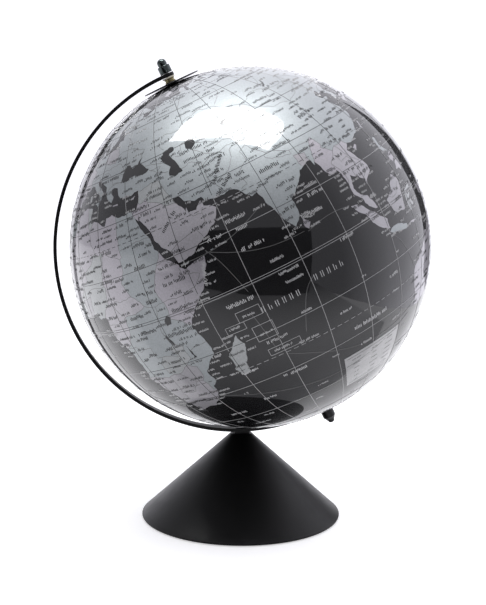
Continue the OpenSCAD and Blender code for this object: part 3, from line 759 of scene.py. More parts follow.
def raised(lonlat, tris, low, high):
    """A thin closed solid over the ball, with the numbers of the triangles on its top."""
    top = on_globe(lonlat, GLOBE_R + high)
    bottom = on_globe(lonlat, GLOBE_R + low)
    same = {}
    index = [same.setdefault(tuple(np.round(p, 7)), i) for i, p in enumerate(top)]
    tris = [tuple(index[i] for i in tri) for tri in tris]
    return list(top) + list(bottom), slab_faces(tris, len(top)), len(tris)


def loose_points_removed(mesh):
    """Deletes the points that no face uses."""
    work = bmesh.new()
    work.from_mesh(mesh)
    bmesh.ops.delete(work, geom=[v for v in work.verts if not v.link_faces], context="VERTS")
    work.to_mesh(mesh)
    work.free()


def land_piece(name, outlines, borders, material=LAND, rise=LAND_RISE, step=2.0, seed=0):
    """A printed piece within rough outlines; returns its coasts and its border lines."""
    coasts = [rough_line(o, seed + i, True) for i, o in enumerate(outlines)]
    fences = [rough_line(b, seed + 500 + i, False, wander=0.09) for i, b in enumerate(borders)]
    lonlat, tris, numbers = triangulated(coasts, fences, step)
    verts, faces, tops = raised(lonlat, tris, SUNK, rise)
    obj = piece(name, verts, faces, "globe", material)
    # The countries take five tints in turn, so that neighbours mostly differ
    tint = obj.data.attributes.new("tint", "FLOAT", "FACE")
    values = [(n * 2 % 5) / 5 + 0.1 for n in numbers]
    tint.data.foreach_set("value", values * 2 + [0.1] * (len(obj.data.polygons) - 2 * tops))
    loose_points_removed(obj.data)
    rounded(obj)
    return coasts, fences


def rounded(obj):
    """Gives a printed layer the ball's own smooth normals."""
    normals = [(v.co - CENTRE).normalized() for v in obj.data.vertices]
    obj.data.shade_smooth()
    obj.data.normals_split_custom_set_from_vertices(normals)


def ribbon(lonlat, width, low, high):
    """A thin strip of ink along a line on the ball, as a closed solid."""
    middle = on_globe(lonlat, 1.0) - MIDDLE
    ahead = np.gradient(middle, axis=0)
    side = np.cross(middle, ahead)
    side /= np.linalg.norm(side, axis=1)[:, None]
    side *= width / 2
    top = middle * (GLOBE_R + high) + MIDDLE
    bottom = middle * (GLOBE_R + low) + MIDDLE
    rows = [top + side, top - side, bottom - side, bottom + side]
    verts = [tuple(p) for row in rows for p in row]
    n = len(middle)
    faces = []
    for k in range(4):
        a, b = k * n, (k + 1) % 4 * n
        faces += [(a + i, a + i + 1, b + i + 1, b + i) for i in range(n - 1)]
    faces.append((0, n, 2 * n, 3 * n))
    faces.append((4 * n - 1, 3 * n - 1, 2 * n - 1, n - 1))
    return verts, faces


def stretches(line, on_land):
    """Cuts a line where it crosses a coast: (places, whether it is over land)."""
    start = 0
    for i in range(1, len(line)):
        if on_land[i] != on_land[start] or i == len(line) - 1:
            if i > start:
                yield line[start:i + 1], bool(on_land[start])
            start = i


def dashes(line, on, off):
    """Short stretches of a line, on and off by a number of its steps."""
    for start in range(0, len(line) - 1, on + off):
        part = line[start:start + on + 1]
        if len(part) > 1:
            yield part


def meridian(lon, south, north, step=1.0):
    """Places along a meridian."""
    lats = np.arange(south, north + step / 2, step)
    return np.stack([np.full(len(lats), lon), lats], axis=1)


def parallel(lat, west=-180.0, east=180.0, step=1.0):
    """Places along a parallel."""
    lons = np.arange(west, east + step / 2, step)
    return np.stack([lons, np.full(len(lons), lat)], axis=1)


class Atlas:
    """What is printed over land and over sea, kept apart because their inks differ."""

    def __init__(self, coasts):
        starts = np.array([p for coast in coasts for p in coast])
        ends = np.array([p for coast in coasts for p in coast[1:] + coast[:1]])
        level = starts[:, 1] == ends[:, 1]
        self.starts = starts[~level]
        self.ends = ends[~level]
        self.land = []
        self.sea = []
        self.sea_lines = []

    def is_land(self, lonlat):
        """Which places lie on land: a line east of them crosses coasts an odd number of times."""
        lonlat = np.asarray(lonlat, float)
        lon = (lonlat[:, 0] + 180) % 360 - 180
        lat = lonlat[:, 1, None]
        (ax, ay), (bx, by) = self.starts.T, self.ends.T
        spans = (ay > lat) != (by > lat)
        meets = (bx - ax) * (lat - ay) / (by - ay) + ax
        found = (spans & (lon[:, None] < meets)).sum(axis=1) % 2 == 1
        # One coast runs on past 180 degrees east
        return found | ((spans & (lon[:, None] + 360 < meets)).sum(axis=1) % 2 == 1)

    def line(self, line, width, on=0, off=0):
        for part, over_land in stretches(line, self.is_land(line)):
            for dash in dashes(part, on, off) if on else [part]:
                strip = ribbon(dash, width, SUNK, INK_RISE)
                (self.land if over_land else self.sea_lines).append(strip)

    def mark(self, lon, lat, blocks, slope=0.0, over_land=None):
        """Small solid blocks (west, south, east, north), in metres about a place."""
        place = on_globe([(lon, lat)], 1.0)[0] - MIDDLE
        east = np.cross(np.array(POLE), place)
        east /= np.linalg.norm(east)
        north = np.cross(place, east)
        turn = math.radians(slope)
        along = east * math.cos(turn) + north * math.sin(turn)
        across = north * math.cos(turn) - east * math.sin(turn)
        if over_land is None:
            over_land = bool(self.is_land([(lon, lat)])[0])
        target = self.land if over_land else self.sea
        for west, south, eastern, northern in blocks:
            flat = [(west, south), (eastern, south), (eastern, northern), (west, northern)]
            rays = np.array([place * GLOBE_R + along * x + across * y for x, y in flat])
            rays /= np.linalg.norm(rays, axis=1)[:, None]
            verts = [tuple(MIDDLE + r * (GLOBE_R + SUNK)) for r in rays]
            verts += [tuple(MIDDLE + r * (GLOBE_R + INK_RISE)) for r in rays]
            target.append((verts, block_faces()))


def block_faces():
    """Faces of a block whose points are its bottom corners and then its top corners."""
    sides = [(i, (i + 1) % 4, (i + 1) % 4 + 4, i + 4) for i in range(4)]
    return [(3, 2, 1, 0), (4, 5, 6, 7)] + sides


def strokes(draw, count, height):
    """A row of plain upright bars: it stands for a name without spelling one."""
    pitch = height * 0.4
    bar = height * 0.2
    gap_share, tier_share = 0.12, 0.35
    spans = ((0, 1.0), (0, 0.72), (0, 0.72), (0.28, 1.0))
    west = -count * pitch
    blocks = []
    for k in range(2 * count):
        if draw.random() < gap_share:
            continue
        left = west + k * pitch
        low, high = draw.choice(spans)
        blocks.append((left, low * height, left + bar, high * height))
        if draw.random() < tier_share:
            tier = draw.choice((0.0, 0.42, 0.85)) * height
            blocks.append((left + bar, tier, left + pitch * 0.8, tier + bar))
    return blocks


def spaced_strokes(draw, count, height):
    """Pairs of bars, well spaced as the name of an ocean is: again nothing is spelt."""
    pitch = height * 1.2
    bar = height * 0.11
    wide = height * 0.48
    blocks = []
    for k in range(count):
        left = (k - count / 2) * pitch
        blocks.append((left, 0, left + bar, height))
        blocks.append((left + wide - bar, 0, left + wide, draw.choice((0.6, 1.0)) * height))
    return blocks


def build_map():
    """The land, the lakes and everything printed over land and sea."""
    africa, africa_lines = land_piece("land_africa", [AFRICA], AFRICA_BORDERS, seed=1)
    eurasia, eurasia_lines = land_piece("land_eurasia", [EURASIA], EURASIA_BORDERS, seed=2)
    america, america_lines = land_piece(
        "land_america", [NORTH_AMERICA, SOUTH_AMERICA], AMERICA_BORDERS, seed=3)
    australia, australia_lines = land_piece(
        "land_australia", [AUSTRALIA], AUSTRALIA_BORDERS, seed=7)
    antarctica, _ = land_piece("land_antarctica", [ANTARCTICA], [], seed=8)
    islands, island_lines = land_piece("land_islands", ISLANDS, ISLAND_BORDERS, seed=20)
    land_piece("lakes", LAKES, [], LAKE, LAKE_RISE, seed=90)
    atlas = Atlas(africa + eurasia + america + australia + antarctica + islands)

    draw_borders(atlas, africa_lines + eurasia_lines + america_lines + australia_lines
                 + island_lines)
    draw_grid(atlas)
    draw_names(atlas)
    draw_coast_names(atlas, africa + eurasia + america + australia + islands)
    for west, south, east, north in FRAMES:
        draw_frame(atlas, west, south, east, north)
    draw_routes(atlas)
    draw_panel(atlas)
    lay("ink_on_land", atlas.land, DARK_INK)
    lay("ink_on_sea", atlas.sea, PALE_INK)
    lay("grid_on_sea", atlas.sea_lines, GRID_INK)


def lay(name, parts, material):
    """One piece from many thin solids of ink."""
    verts, faces = joined(parts)
    rounded(piece(name, verts, faces, "globe", material, smooth=False))


def draw_borders(atlas, borders):
    """The borders of countries, where they run over land."""
    width = 0.3 * MM
    parts = []
    for border in borders:
        line = np.array(border)
        for part, over_land in stretches(line, atlas.is_land(line)):
            if over_land:
                parts.append(ribbon(part, width, SUNK, INK_RISE - 0.02 * MM))
    lay("country_borders", parts, BORDER_INK)


def draw_grid(atlas):
    """Meridians and parallels, the dashed tropics and polar circles, the double equator."""
    width, equator_width = 0.36 * MM, 0.34 * MM
    spacing, most_south, most_north = 15, -75, 80
    for lon in range(-180, 180, spacing):
        atlas.line(meridian(lon, most_south, most_north), width)
    for lat in range(most_south, 90, spacing):
        if lat:
            atlas.line(parallel(lat), width)
    for lat in (-66.5, -23.5, 23.5, 66.5):
        atlas.line(parallel(lat, step=0.5), width, on=3, off=2)
    for lat in (-0.33, 0.33):
        atlas.line(parallel(lat), equator_width)


# The larger names on the front of the globe: longitude, latitude, half the number of their
# strokes, the height in millimetres and the slope in degrees
FRONT_NAMES = [
    (54.8, -4.4, 9, 3.0, 0), (64.6, 8.5, 8, 2.8, 0), (83.6, 9.1, 8, 2.8, 0),
    (56, 14.5, 6, 2.6, 0), (59.5, -18.6, 8, 2.6, 0), (75, 6.5, 6, 2.0, 0),
    (79.5, 25.5, 6, 3.4, 0), (66, 33, 10, 3.0, 55), (49.8, 7.4, 7, 2.8, 75), (87.5, 16, 5, 2.8, 0),
    (87.5, 13.5, 6, 2.8, 0), (60.5, 41.5, 10, 2.8, 0), (61.5, 38.5, 11, 2.8, 0),
    (45, 24, 7, 3.2, 40), (31, 15, 5, 3.0, 0), (40, 8, 8, 3.0, 0), (38, 0.5, 5, 3.2, 0),
    (35, -6, 9, 3.2, 0), (31, 7.5, 5, 3.0, 0), (31, 5, 5, 3.0, 0), (47, 29, 4, 2.6, 0),
    (65, 27, 8, 3.0, 35), (90, -28, 12, 3.4, 0), (60, -32, 9, 2.8, 0), (63.5, 17, 7, 2.8, 0),
    (64, 14, 4, 2.8, 0), (101, 14, 7, 2.6, 0), (104, 35, 5, 3.6, 8), (96, 47, 8, 2.6, 0),
    (23, 2, 6, 3.0, 0), (24, -3, 8, 3.0, 0), (18, 22, 5, 3.4, 0), (28, -14, 7, 3.0, 0),
    (68.9, 2.4, 6, 2.2, 0), (70.5, -1.8, 9, 2.2, 0), (71, -4.6, 8, 2.2, 0),
    (68, -23, 9, 2.2, 0), (50, -10.4, 6, 1.8, 0), (55.5, -8.3, 7, 1.8, 0),
    (57.5, -15.3, 7, 1.8, 0), (60, -21.8, 9, 2.0, 0),
]

# Names of oceans: longitude, latitude and the number of their pairs of bars
OCEAN_NAMES = [
    (65.5, -9.2, 6), (81.3, -7.5, 5), (-32, -22, 5), (-30, 30, 5), (-150, 12, 7), (-145, -22, 7),
    (168, 30, 5), (-18, -30, 5),
]


def draw_names(atlas):
    """The larger names, then small ones spread evenly, with a town's dot beside those on land."""
    draw = random.Random(11)
    ocean_height = 4.6 * MM
    tries = 5200
    polar_gap = 0.97
    land_reach, sea_reach = 2.5, 8.0
    for lon, lat, count, height, slope in FRONT_NAMES:
        atlas.mark(lon, lat, strokes(draw, count, height * MM), slope)
    for lon, lat, count in OCEAN_NAMES:
        atlas.mark(lon, lat, spaced_strokes(draw, count, ocean_height))
    taken = [place[:2] for place in FRONT_NAMES + OCEAN_NAMES]
    places = []
    for _ in range(tries):
        lon = draw.uniform(-180, 180)
        places.append((lon, math.degrees(math.asin(draw.uniform(-polar_gap, polar_gap)))))
    for (lon, lat), over_land in zip(places, atlas.is_land(places)):
        reach = land_reach if over_land else sea_reach
        near = any(
            abs(lat - b) < reach * 0.6 and abs(lon - a) * math.cos(math.radians(lat)) < reach * 1.3
            for a, b in taken)
        if near:
            continue
        taken.append((lon, lat))
        blocks = strokes(draw, draw.randint(3, 7), draw.choice((1.8, 2.2, 2.6)) * MM)
        if over_land:
            dot = 0.9 * MM
            left = blocks[0][0] - 1.6 * MM
            blocks.append((left, 0, left + dot, dot))
        atlas.mark(lon, lat, blocks, 0, over_land)


def draw_coast_names(atlas, coasts):
    """Rows of small strokes in the sea beside the coasts, as harbours are named."""
    draw = random.Random(31)
    height = 1.7 * MM
    last_lat = 70
    taken = []
    for coast in coasts:
        for lon, lat in coast[::2]:
            side = draw.choice((-1, 1))
            count = draw.randint(4, 7)
            reach = math.degrees(count * height * 0.4 / GLOBE_R) / math.cos(math.radians(lat))
            middle = lon + side * (reach + 0.6)
            ends = [(middle - reach, lat), (middle, lat), (middle + reach, lat)]
            crowded = any(abs(lat - b) < 1.3 and abs(middle - a) < 2.2 * reach for a, b in taken)
            if crowded or abs(lat) > last_lat or atlas.is_land(ends).any():
                continue
            taken.append((middle, lat))
            atlas.mark(middle, lat, strokes(draw, count, height), 0, False)


def draw_frame(atlas, west, south, east, north):
    """A thin frame for an enlarged group of islands."""
    width = 0.35 * MM
    steps = 8
    for lat in (south, north):
        atlas.line(parallel(lat, west, east, (east - west) / steps), width)
    for lon in (west, east):
        atlas.line(meridian(lon, south, north, (north - south) / steps), width)


# Enlarged island groups: west, south, east, north
FRAMES = [
    (47.4, -11.4, 53.1, -9.2), (52, -9.2, 59, -6.2), (54.3, -16.8, 60.4, -12),
    (55.4, -22.6, 65.6, -20.3),
    (-30, 36, -22, 40), (-162, 17, -153, 22), (176, -20, 182, -15), (-64, 12, -58, 18),
]

# Shipping routes: the ends and how far the middle bows, in degrees
ROUTES = [
    ((52, 13), (58, -2), 2), ((45, 12), (72, 18), -2), ((52, 12.5), (79, 6), -2),
    ((56, -8), (58, -22), 2), ((76, -6), (68, -20), 3), ((80, 5.5), (95, 6), 1),
    ((60, -24), (112, -33), -6), ((32, -30), (110, -35), -8), ((20, -36), (-45, -24), 8),
    ((-10, 44), (-70, 41), 8), ((-6, 35), (-17, 13), -2), ((-122, 36), (-158, 21), 3),
    ((-158, 21), (140, 34), 8), ((155, -33), (172, -38), 2), ((-80, 8), (-158, 21), 6),
    ((-75, 35), (-20, 15), 5), ((105, -7), (114, -21), 2),
]


def draw_routes(atlas):
    """Faint, bowed shipping routes over the sea."""
    width = 0.6 * MM
    faint = []
    for (ax, ay), (bx, by), bow in ROUTES:
        t = np.linspace(0, 1, 40)
        if bx - ax > 180:
            bx -= 360
        lons = ax + (bx - ax) * t
        lats = ay + (by - ay) * t + bow * np.sin(math.pi * t)
        line = np.stack([lons, lats], axis=1)
        for part, over_land in stretches(line, atlas.is_land(line)):
            if not over_land:
                faint.append(ribbon(part, width, SUNK, INK_RISE - 0.04 * MM))
    lay("sea_routes", faint, FAINT_INK)


def draw_panel(atlas):
    """The pale panel in the south of the Indian Ocean, with rows of strokes and two rules."""
    west, south, east, north = 77, -51, 104, -36.5
    steps = 10
    outline = [(west, south), (east, south), (east, north), (west, north)]
    card = []
    for (ax, ay), (bx, by) in zip(outline, outline[1:] + outline[:1]):
        card += [(ax + (bx - ax) * k / steps, ay + (by - ay) * k / steps) for k in range(steps)]
    lonlat, tris, _ = triangulated([card], step=1.5)
    verts, faces, _ = raised(lonlat, tris, SUNK, LAKE_RISE)
    panel = piece("legend_panel", verts, faces, "globe", PANEL)
    loose_points_removed(panel.data)
    rounded(panel)
    draw = random.Random(5)
    rows, first_drop, drop = 6, 2.5, 2.1
    height = 1.3 * MM
    for row in range(rows):
        lat = north - first_drop - row * drop
        for lon in (82, 91, 99):
            count = draw.randint(4, 8)
            atlas.mark(lon, lat, strokes(draw, count, height), 0, True)
    margin = 1
    rule = 0.35 * MM
    for lat in (north - margin, south + margin):
        line = parallel(lat, west + margin, east - margin)
        atlas.land.append(ribbon(line, rule, SUNK, INK_RISE))


def half_skin(name, axis, node):
    """Half of the printed ball: a thin solid skin from the equator to the pole bush."""
    hole_r = 5.02 * MM
    skin = 0.3 * MM
    step = 1.5
    last = 90 - math.degrees(math.asin(hole_r / GLOBE_R))
    lats = [math.radians(a) for a in [*np.arange(0, last, step), last]]
    outer = [(GLOBE_R * math.cos(a), GLOBE_R * math.sin(a)) for a in lats]
    low_r = GLOBE_R - skin
    inner = [(low_r * math.cos(a), low_r * math.sin(a)) for a in lats[::2]]
    inner.append((hole_r, math.sqrt(low_r ** 2 - hole_r ** 2)))
    verts, faces = lathe(outer + inner[::-1], axis, CENTRE, turns=240)
    return piece(name, verts, faces, "globe", SEA, replaces=[node])


def equator_tape():
    """The printed tape over the seam of the two halves."""
    half = 1.8 * MM
    rim = GLOBE_R + TAPE_RISE
    back = GLOBE_R - 0.1 * MM
    edge = rim - 0.02 * MM
    flat = half - 0.05 * MM
    profile = [(edge, -half), (rim, -flat), (rim, flat), (edge, half), (back, half), (back, -half)]
    verts, faces = lathe(profile, POLE, CENTRE, turns=360)
    piece("equator_band", verts, faces, "globe", SEA, replaces=["equator_tape"])


# ---------------------------------------------------------------------------
# The stand
# ---------------------------------------------------------------------------


def cone():
    """The cone's shell, from the hollow foot over the rounded lip to the flat neck."""
    low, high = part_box("base_cone")
    base_r = high.x
    neck_r = 9 * MM
    lip = 1.0 * MM
    wall = 1.5 * MM
    top = high.z
    lip_top = low.z + lip
    run = (base_r - neck_r) / (top - lip_top)
    slope = math.degrees(math.atan2(top - lip_top, base_r - neck_r))
    fall = wall * math.sqrt(1 + run * run)
    inner_r = base_r - 2.2 * MM
    ceiling = top - 3 * MM
    hole_r = 2.6 * MM
    edge = 0.4 * MM
    steps = 24
    bevel = 0.15 * MM
    hole_edge = 0.2 * MM
    neck_edge = 0.75 * MM
    profile = [(inner_r, low.z + bevel), (inner_r + bevel, low.z)]
    profile += corner(base_r - edge, low.z + edge, edge, -90, 0)
    profile += corner(base_r - edge, lip_top - 0.1 * MM, edge, 0, 90 - slope)
    start = Vector((base_r - 0.8 * MM, lip_top + 0.67 * MM))
    end = Vector((neck_r + 0.7 * MM, top - 0.6 * MM))
    for i in range(1, steps):
        place = start.lerp(end, i / steps)
        profile.append((place.x, place.y))
    profile += corner(neck_r - 0.25 * MM, top - neck_edge, neck_edge, 90 - slope, 90)
    profile += [(hole_r + hole_edge, top), (hole_r, top - hole_edge), (hole_r, ceiling)]
    inner_top = base_r - (ceiling - lip_top) * run - fall
    inner_low = lip_top + (base_r - fall - inner_r) / run
    profile += [(inner_top, ceiling), (inner_r, inner_low)]
    verts, faces = lathe(profile, UP, Vector((0, 0, 0)), turns=160)
    piece("cone_shell", verts, faces, "stand", CONE_PAINT, replaces=["base_cone"])


def crossing(side, radius, shift):
    """Angle about the arc's centre at which the axle meets a circle of this radius."""
    along = -side * shift * POLE.x
    reach = along + math.sqrt(along ** 2 + radius ** 2 - shift ** 2)
    point = Vector((shift, 0, 0)) + POLE * side * reach
    return math.atan2(point.z, point.x) % math.tau


def round_end(place, half, start):
    """The half circle that ends the flat strip, from an angle on."""
    steps = 24
    turns = [start + math.pi * i / steps for i in range(steps + 1)]
    return [(place + half * math.cos(a), half * math.sin(a)) for a in turns]


def hole_rim(place, r):
    """A round hole in the flat strip."""
    turns = np.linspace(0, math.tau, 32, endpoint=False)
    return [(place + r * math.cos(a), r * math.sin(a)) for a in turns]


def flat_strip(first, last, half, holes):
    """Points and triangles of the unrolled strip, with round ends and holes (place, radius)."""
    body = np.linspace(first, last, 150)[1:-1]
    rim = round_end(first, half, math.pi / 2) + [(s, -half) for s in body]
    rim += round_end(last, half, -math.pi / 2) + [(s, half) for s in body[::-1]]
    flat = list(rim)
    edges = []
    for place, r in holes:
        cut = hole_rim(place, r)
        start = len(flat)
        count = len(cut)
        edges += [(start + i, start + (i + 1) % count) for i in range(count)]
        flat += cut
    flat += [(s, w) for s in body[::2] for w in (-half / 2, 0, half / 2)]
    # The triangulation is steadier in millimetres
    scaled = [Vector(p) / MM for p in flat]
    verts, _, tris, *_ = delaunay_2d_cdt(scaled, edges, [list(range(len(rim)))], 1, 1e-4)
    kept = []
    for tri in tris:
        middle = sum((verts[i] for i in tri), Vector((0, 0))) / 3
        if all((middle - Vector((place, 0)) / MM).length > r / MM for place, r in holes):
            kept.append(tuple(tri))
    return verts, kept


def strip():
    """The half-ring strip: its flat shape is bent to the arc."""
    low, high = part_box("meridian_arc")
    outer_r = -low.x
    arc_z = low.z + outer_r
    inner_r = outer_r - 2.8 * MM
    mid_r = (outer_r + inner_r) / 2
    rod_hole = 2.05 * MM
    bolt_hole = 2.6 * MM
    first = crossing(1, mid_r, CENTRE.x) * mid_r
    last = crossing(-1, mid_r, CENTRE.x) * mid_r
    bottom = 1.5 * math.pi * mid_r
    verts, kept = flat_strip(first, last, high.y, [(first, rod_hole), (last, rod_hole),
                                                   (bottom, bolt_hole)])
    points = []
    for r in (outer_r, inner_r):
        for v in verts:
            a = v.x * MM / mid_r
            points.append((r * math.cos(a), v.y * MM, arc_z + r * math.sin(a)))
    obj = piece("arc_strip", points, slab_faces(kept, len(verts)), "stand",
                ARC_PAINT, replaces=["meridian_arc"])
    loose_points_removed(obj.data)
    soften(obj, 0.3 * MM)


def soften(obj, width):
    """Rounds the sharp edges of a piece."""
    bevel = obj.modifiers.new("soft_edges", "BEVEL")
    bevel.width = width
    bevel.segments = 2
    bevel.limit_method = "ANGLE"
    bevel.angle_limit = math.radians(40)
    bevel.harden_normals = True


# ---------------------------------------------------------------------------
# Hardware on the axle
# ---------------------------------------------------------------------------


def nut_foot(radius, low):
    """The start of a nut's profile: from its bore over its rounded foot."""
    round_r = 0.4 * MM
    foot = [(ROD_BORE_R, low), (radius - 0.5 * MM, low)]
    return foot + corner(radius - round_r, low + round_r, round_r, -80, 0)


def groove(radius, start, width, depth):
    """A shallow groove round a turned piece."""
    return [(radius, start), (radius - depth, start + width / 2), (radius, start + width)]


def north_knob():
    """The stepped knob with a domed end that holds the axle over the strip."""
    low, high, radius = axial("north_knob")
    top_r = 3.9 * MM
    step = low + 6.4 * MM
    dome = high - 3.6 * MM
    neck_r = top_r - 0.3 * MM
    profile = nut_foot(radius, low) + groove(radius, low + 1.2 * MM, 0.3 * MM, 0.12 * MM)
    profile += corner(radius - 0.6 * MM, step - 0.6 * MM, 0.6 * MM, 0, 80)
    profile += [(neck_r, step + 0.05 * MM), (neck_r, step + 0.55 * MM)]
    profile += corner(top_r - 0.25 * MM, step + 0.85 * MM, 0.25 * MM, -90, 0)
    for a in np.radians(np.arange(0, 90, 6)):
        profile.append((top_r * math.cos(a), dome + (high - dome) * math.sin(a)))
    profile += [(0, high), (0, high - 4 * MM), (ROD_BORE_R, high - 4.2 * MM)]
    verts, faces = lathe(profile, POLE, CENTRE)
    piece("finial_knob", verts, faces, "stand", DARK_CHROME,
          replaces=["north_knob"])


def south_cap():
    """The tapered nut under the strip's lower end."""
    near, far, radius = axial("south_cap_nut")
    low = -far
    high = -near
    tip_r = radius * 0.52
    tip_h = 2 * MM
    straight = high - 6.4 * MM
    profile = nut_foot(radius, low) + groove(radius, low + 1.6 * MM, 0.4 * MM, 0.15 * MM)
    profile += corner(radius - 0.6 * MM, straight, 0.6 * MM, 0, 60)
    for a in np.radians(np.arange(0, 90, 9)):
        profile.append((tip_r * math.cos(a), high - tip_h + tip_h * math.sin(a)))
    profile += [(0, high), (0, high - 3 * MM), (ROD_BORE_R, high - 3.2 * MM)]
    verts, faces = lathe(profile, -POLE, CENTRE)
    piece("south_cap", verts, faces, "stand", BLACK_STEEL,
          replaces=["south_cap_nut"])


def collar():
    """The brass collar, waisted between two rounded rims."""
    low, high, radius = axial("north_collar")
    edge = 0.2 * MM
    waist_r = radius - 0.5 * MM
    profile = [(ROD_BORE_R, low)]
    profile += corner(radius - edge, low + edge, edge, -90, 0, 4)
    profile += [(radius, low + 0.9 * MM), (waist_r, low + 1.3 * MM), (waist_r, high - 1.1 * MM),
                (radius, high - 0.7 * MM)]
    profile += corner(radius - edge, high - edge, edge, 0, 90, 4)
    profile += [(ROD_BORE_R, high)]
    verts, faces = lathe(profile, POLE, CENTRE)
    piece("brass_collar", verts, faces, "stand", AGED_BRASS,
          replaces=["north_collar"])


def disc_rim(radius, low, high, edge, bore):
    """The start of a disc's profile: from its bore round its rim."""
    rim = [(bore, low)] + corner(radius - edge, low + edge, edge, -90, 0, 4)
    return rim + corner(radius - edge, high - edge, edge, 0, 90, 4)


def round_washer(name, node, material, side=1):
    """A washer on the axle, seen from the north end (1) or from the south end (-1)."""
    start, end, radius = axial(node)
    low, high = (start, end) if side > 0 else (-end, -start)
    edge = min(0.2 * MM, (high - low) / 3)
    bore = 2.08 * MM
    profile = disc_rim(radius, low, high, edge, bore) + [(bore, high)]
    verts, faces = lathe(profile, POLE * side, CENTRE, turns=48)
    piece(name, verts, faces, "stand", material, replaces=[node])


def hour_disc():
    """The thin dial at the north pole, with a fine ring cut near its rim."""
    low, high, radius = axial("hour_disc")
    edge = 0.2 * MM
    bore = 2.06 * MM
    cut = high - 0.06 * MM
    profile = disc_rim(radius, low, high, edge, bore)
    profile += [(radius - 1.2 * MM, high), (radius - 1.3 * MM, cut), (radius - 1.5 * MM, cut),
                (radius - 1.6 * MM, high), (bore, high)]
    verts, faces = lathe(profile, POLE, CENTRE, turns=128)
    piece("hour_dial", verts, faces, "hour_ring", DISC_PAINT,
          replaces=["hour_disc"])
    hour_marks(high, radius)


def hour_marks(height, radius):
    """Ticks and the numbers of the hours, printed on the dial."""
    to_dial = Matrix.Translation(CENTRE + POLE * height) @ TO_DIAL
    parts = []
    ink = 0.05 * MM
    ticks, numbers, hours = 48, 12, 24
    outer = radius - 2.2 * MM
    number_r = radius - 9.2 * MM
    for i in range(ticks):
        length = (3.2 if i % 4 == 0 else 2.2 if i % 2 == 0 else 1.3) * MM
        wide = (0.25 if i % 2 == 0 else 0.18) * MM
        turn = Matrix.Rotation(math.tau * i / ticks, 4, "Z")
        corners = [(outer - length, -wide), (outer, -wide), (outer, wide), (outer - length, wide)]
        verts = [to_dial @ turn @ Vector((x, y, z)) for z in (-ink / 2, ink) for x, y in corners]
        parts.append((verts, block_faces()))
    for i in range(numbers):
        word = str(i * hours // numbers or hours)
        turn = Matrix.Rotation(-math.tau * i / numbers, 4, "Z")
        parts.append(number_mesh(word, ink, to_dial @ turn @ Matrix.Translation((0, number_r, 0))))
    verts, faces = joined(parts)
    piece("hour_marks", verts, faces, "hour_ring", DIAL_INK, smooth=False)


def number_mesh(word, ink, move):
    """Points and faces of one number of the dial, moved to its place."""
    curve = bpy.data.curves.new("number", "FONT")
    curve.body = word
    curve.size = 4.2 * MM
    curve.align_x = "CENTER"
    curve.align_y = "CENTER"
    curve.extrude = ink
    curve.resolution_u = 3
    holder = bpy.data.objects.new("number", curve)
    scene.collection.objects.link(holder)
    bpy.context.view_layer.update()
    mesh = bpy.data.meshes.new_from_object(holder.evaluated_get(
        bpy.context.evaluated_depsgraph_get()))
    verts = [move @ v.co for v in mesh.vertices]
    faces = [tuple(p.vertices) for p in mesh.polygons]
    bpy.data.objects.remove(holder)
    bpy.data.meshes.remove(mesh)
    bpy.data.curves.remove(curve)
    return verts, faces


# Turns a drawing in the XY plane to lie square to the polar axis, its top away from the strip
TO_DIAL = Matrix((
    (*TO_EAST, 0), (*TO_FRONT * -1, 0), (*POLE, 0), (0, 0, 0, 1),
)).transposed()

# ---------------------------------------------------------------------------
# Finishes for the CAD nodes that stay
# ---------------------------------------------------------------------------

KEPT = {
    "base_plate": PLATE_STEEL,
    "base_pad": PAD_RUBBER,
    "base_screws": ZINC_STEEL,
    "ballast_weight": BALLAST_IRON,
    "arc_saddle": ARC_PAINT,
    "arc_bolt": BLACK_STEEL,
    "arc_bolt_washer": ZINC_STEEL,
    "arc_bolt_nut": ZINC_STEEL,
    "axle_rod": ZINC_STEEL,
    "north_bush": BUSH_PLASTIC,
    "south_bush": BUSH_PLASTIC,
    "north_shell": SHELL_PLASTIC,
    "south_shell": SHELL_PLASTIC,
    "joining_ring": SHELL_PLASTIC,
}


def finish_kept_nodes():
    """Gives the CAD nodes that no piece replaces their own finish."""
    for node, material in KEPT.items():
        mesh = frame["nodes"][node].data
        mesh.materials.clear()
        mesh.materials.append(material)


# ---------------------------------------------------------------------------
# Studio
# ---------------------------------------------------------------------------


def flat_stage(name, corners, material):
    """A flat piece of the studio, through its corners."""
    mesh = bpy.data.meshes.new(name)
    mesh.from_pydata(corners, [], [tuple(range(len(corners)))])
    mesh.materials.append(material)
    obj = bpy.data.objects.new(name, mesh)
    scene.collection.objects.link(obj)
    return obj


def glowing(material, strength):
    """Lets a studio surface give white light as well."""
    shader = material.node_tree.nodes["Principled BSDF"]
    preset(shader, {"Emission Color": (1, 1, 1, 1), "Emission Strength": strength})
    return material


def floor():
    """A white table top: it ends before the globe and to its right."""
    paper = surface("floor_paper", grey(0.86), grey(0.88), (0.7, 0.8), size=4)
    front, back, left = -0.9, 6.0, -6.0
    front_right, back_right = 0.33, 2.1
    flat_stage("floor", [(left, front, 0), (front_right, front, 0), (back_right, back, 0),
                         (left, back, 0)], glowing(paper, 0.42))


def gloss_stage(name, corners, material):
    """A flat piece of the studio that only gloss shows."""
    card = flat_stage(name, corners, material)
    card.visible_camera = False
    card.visible_diffuse = False
    card.visible_shadow = False


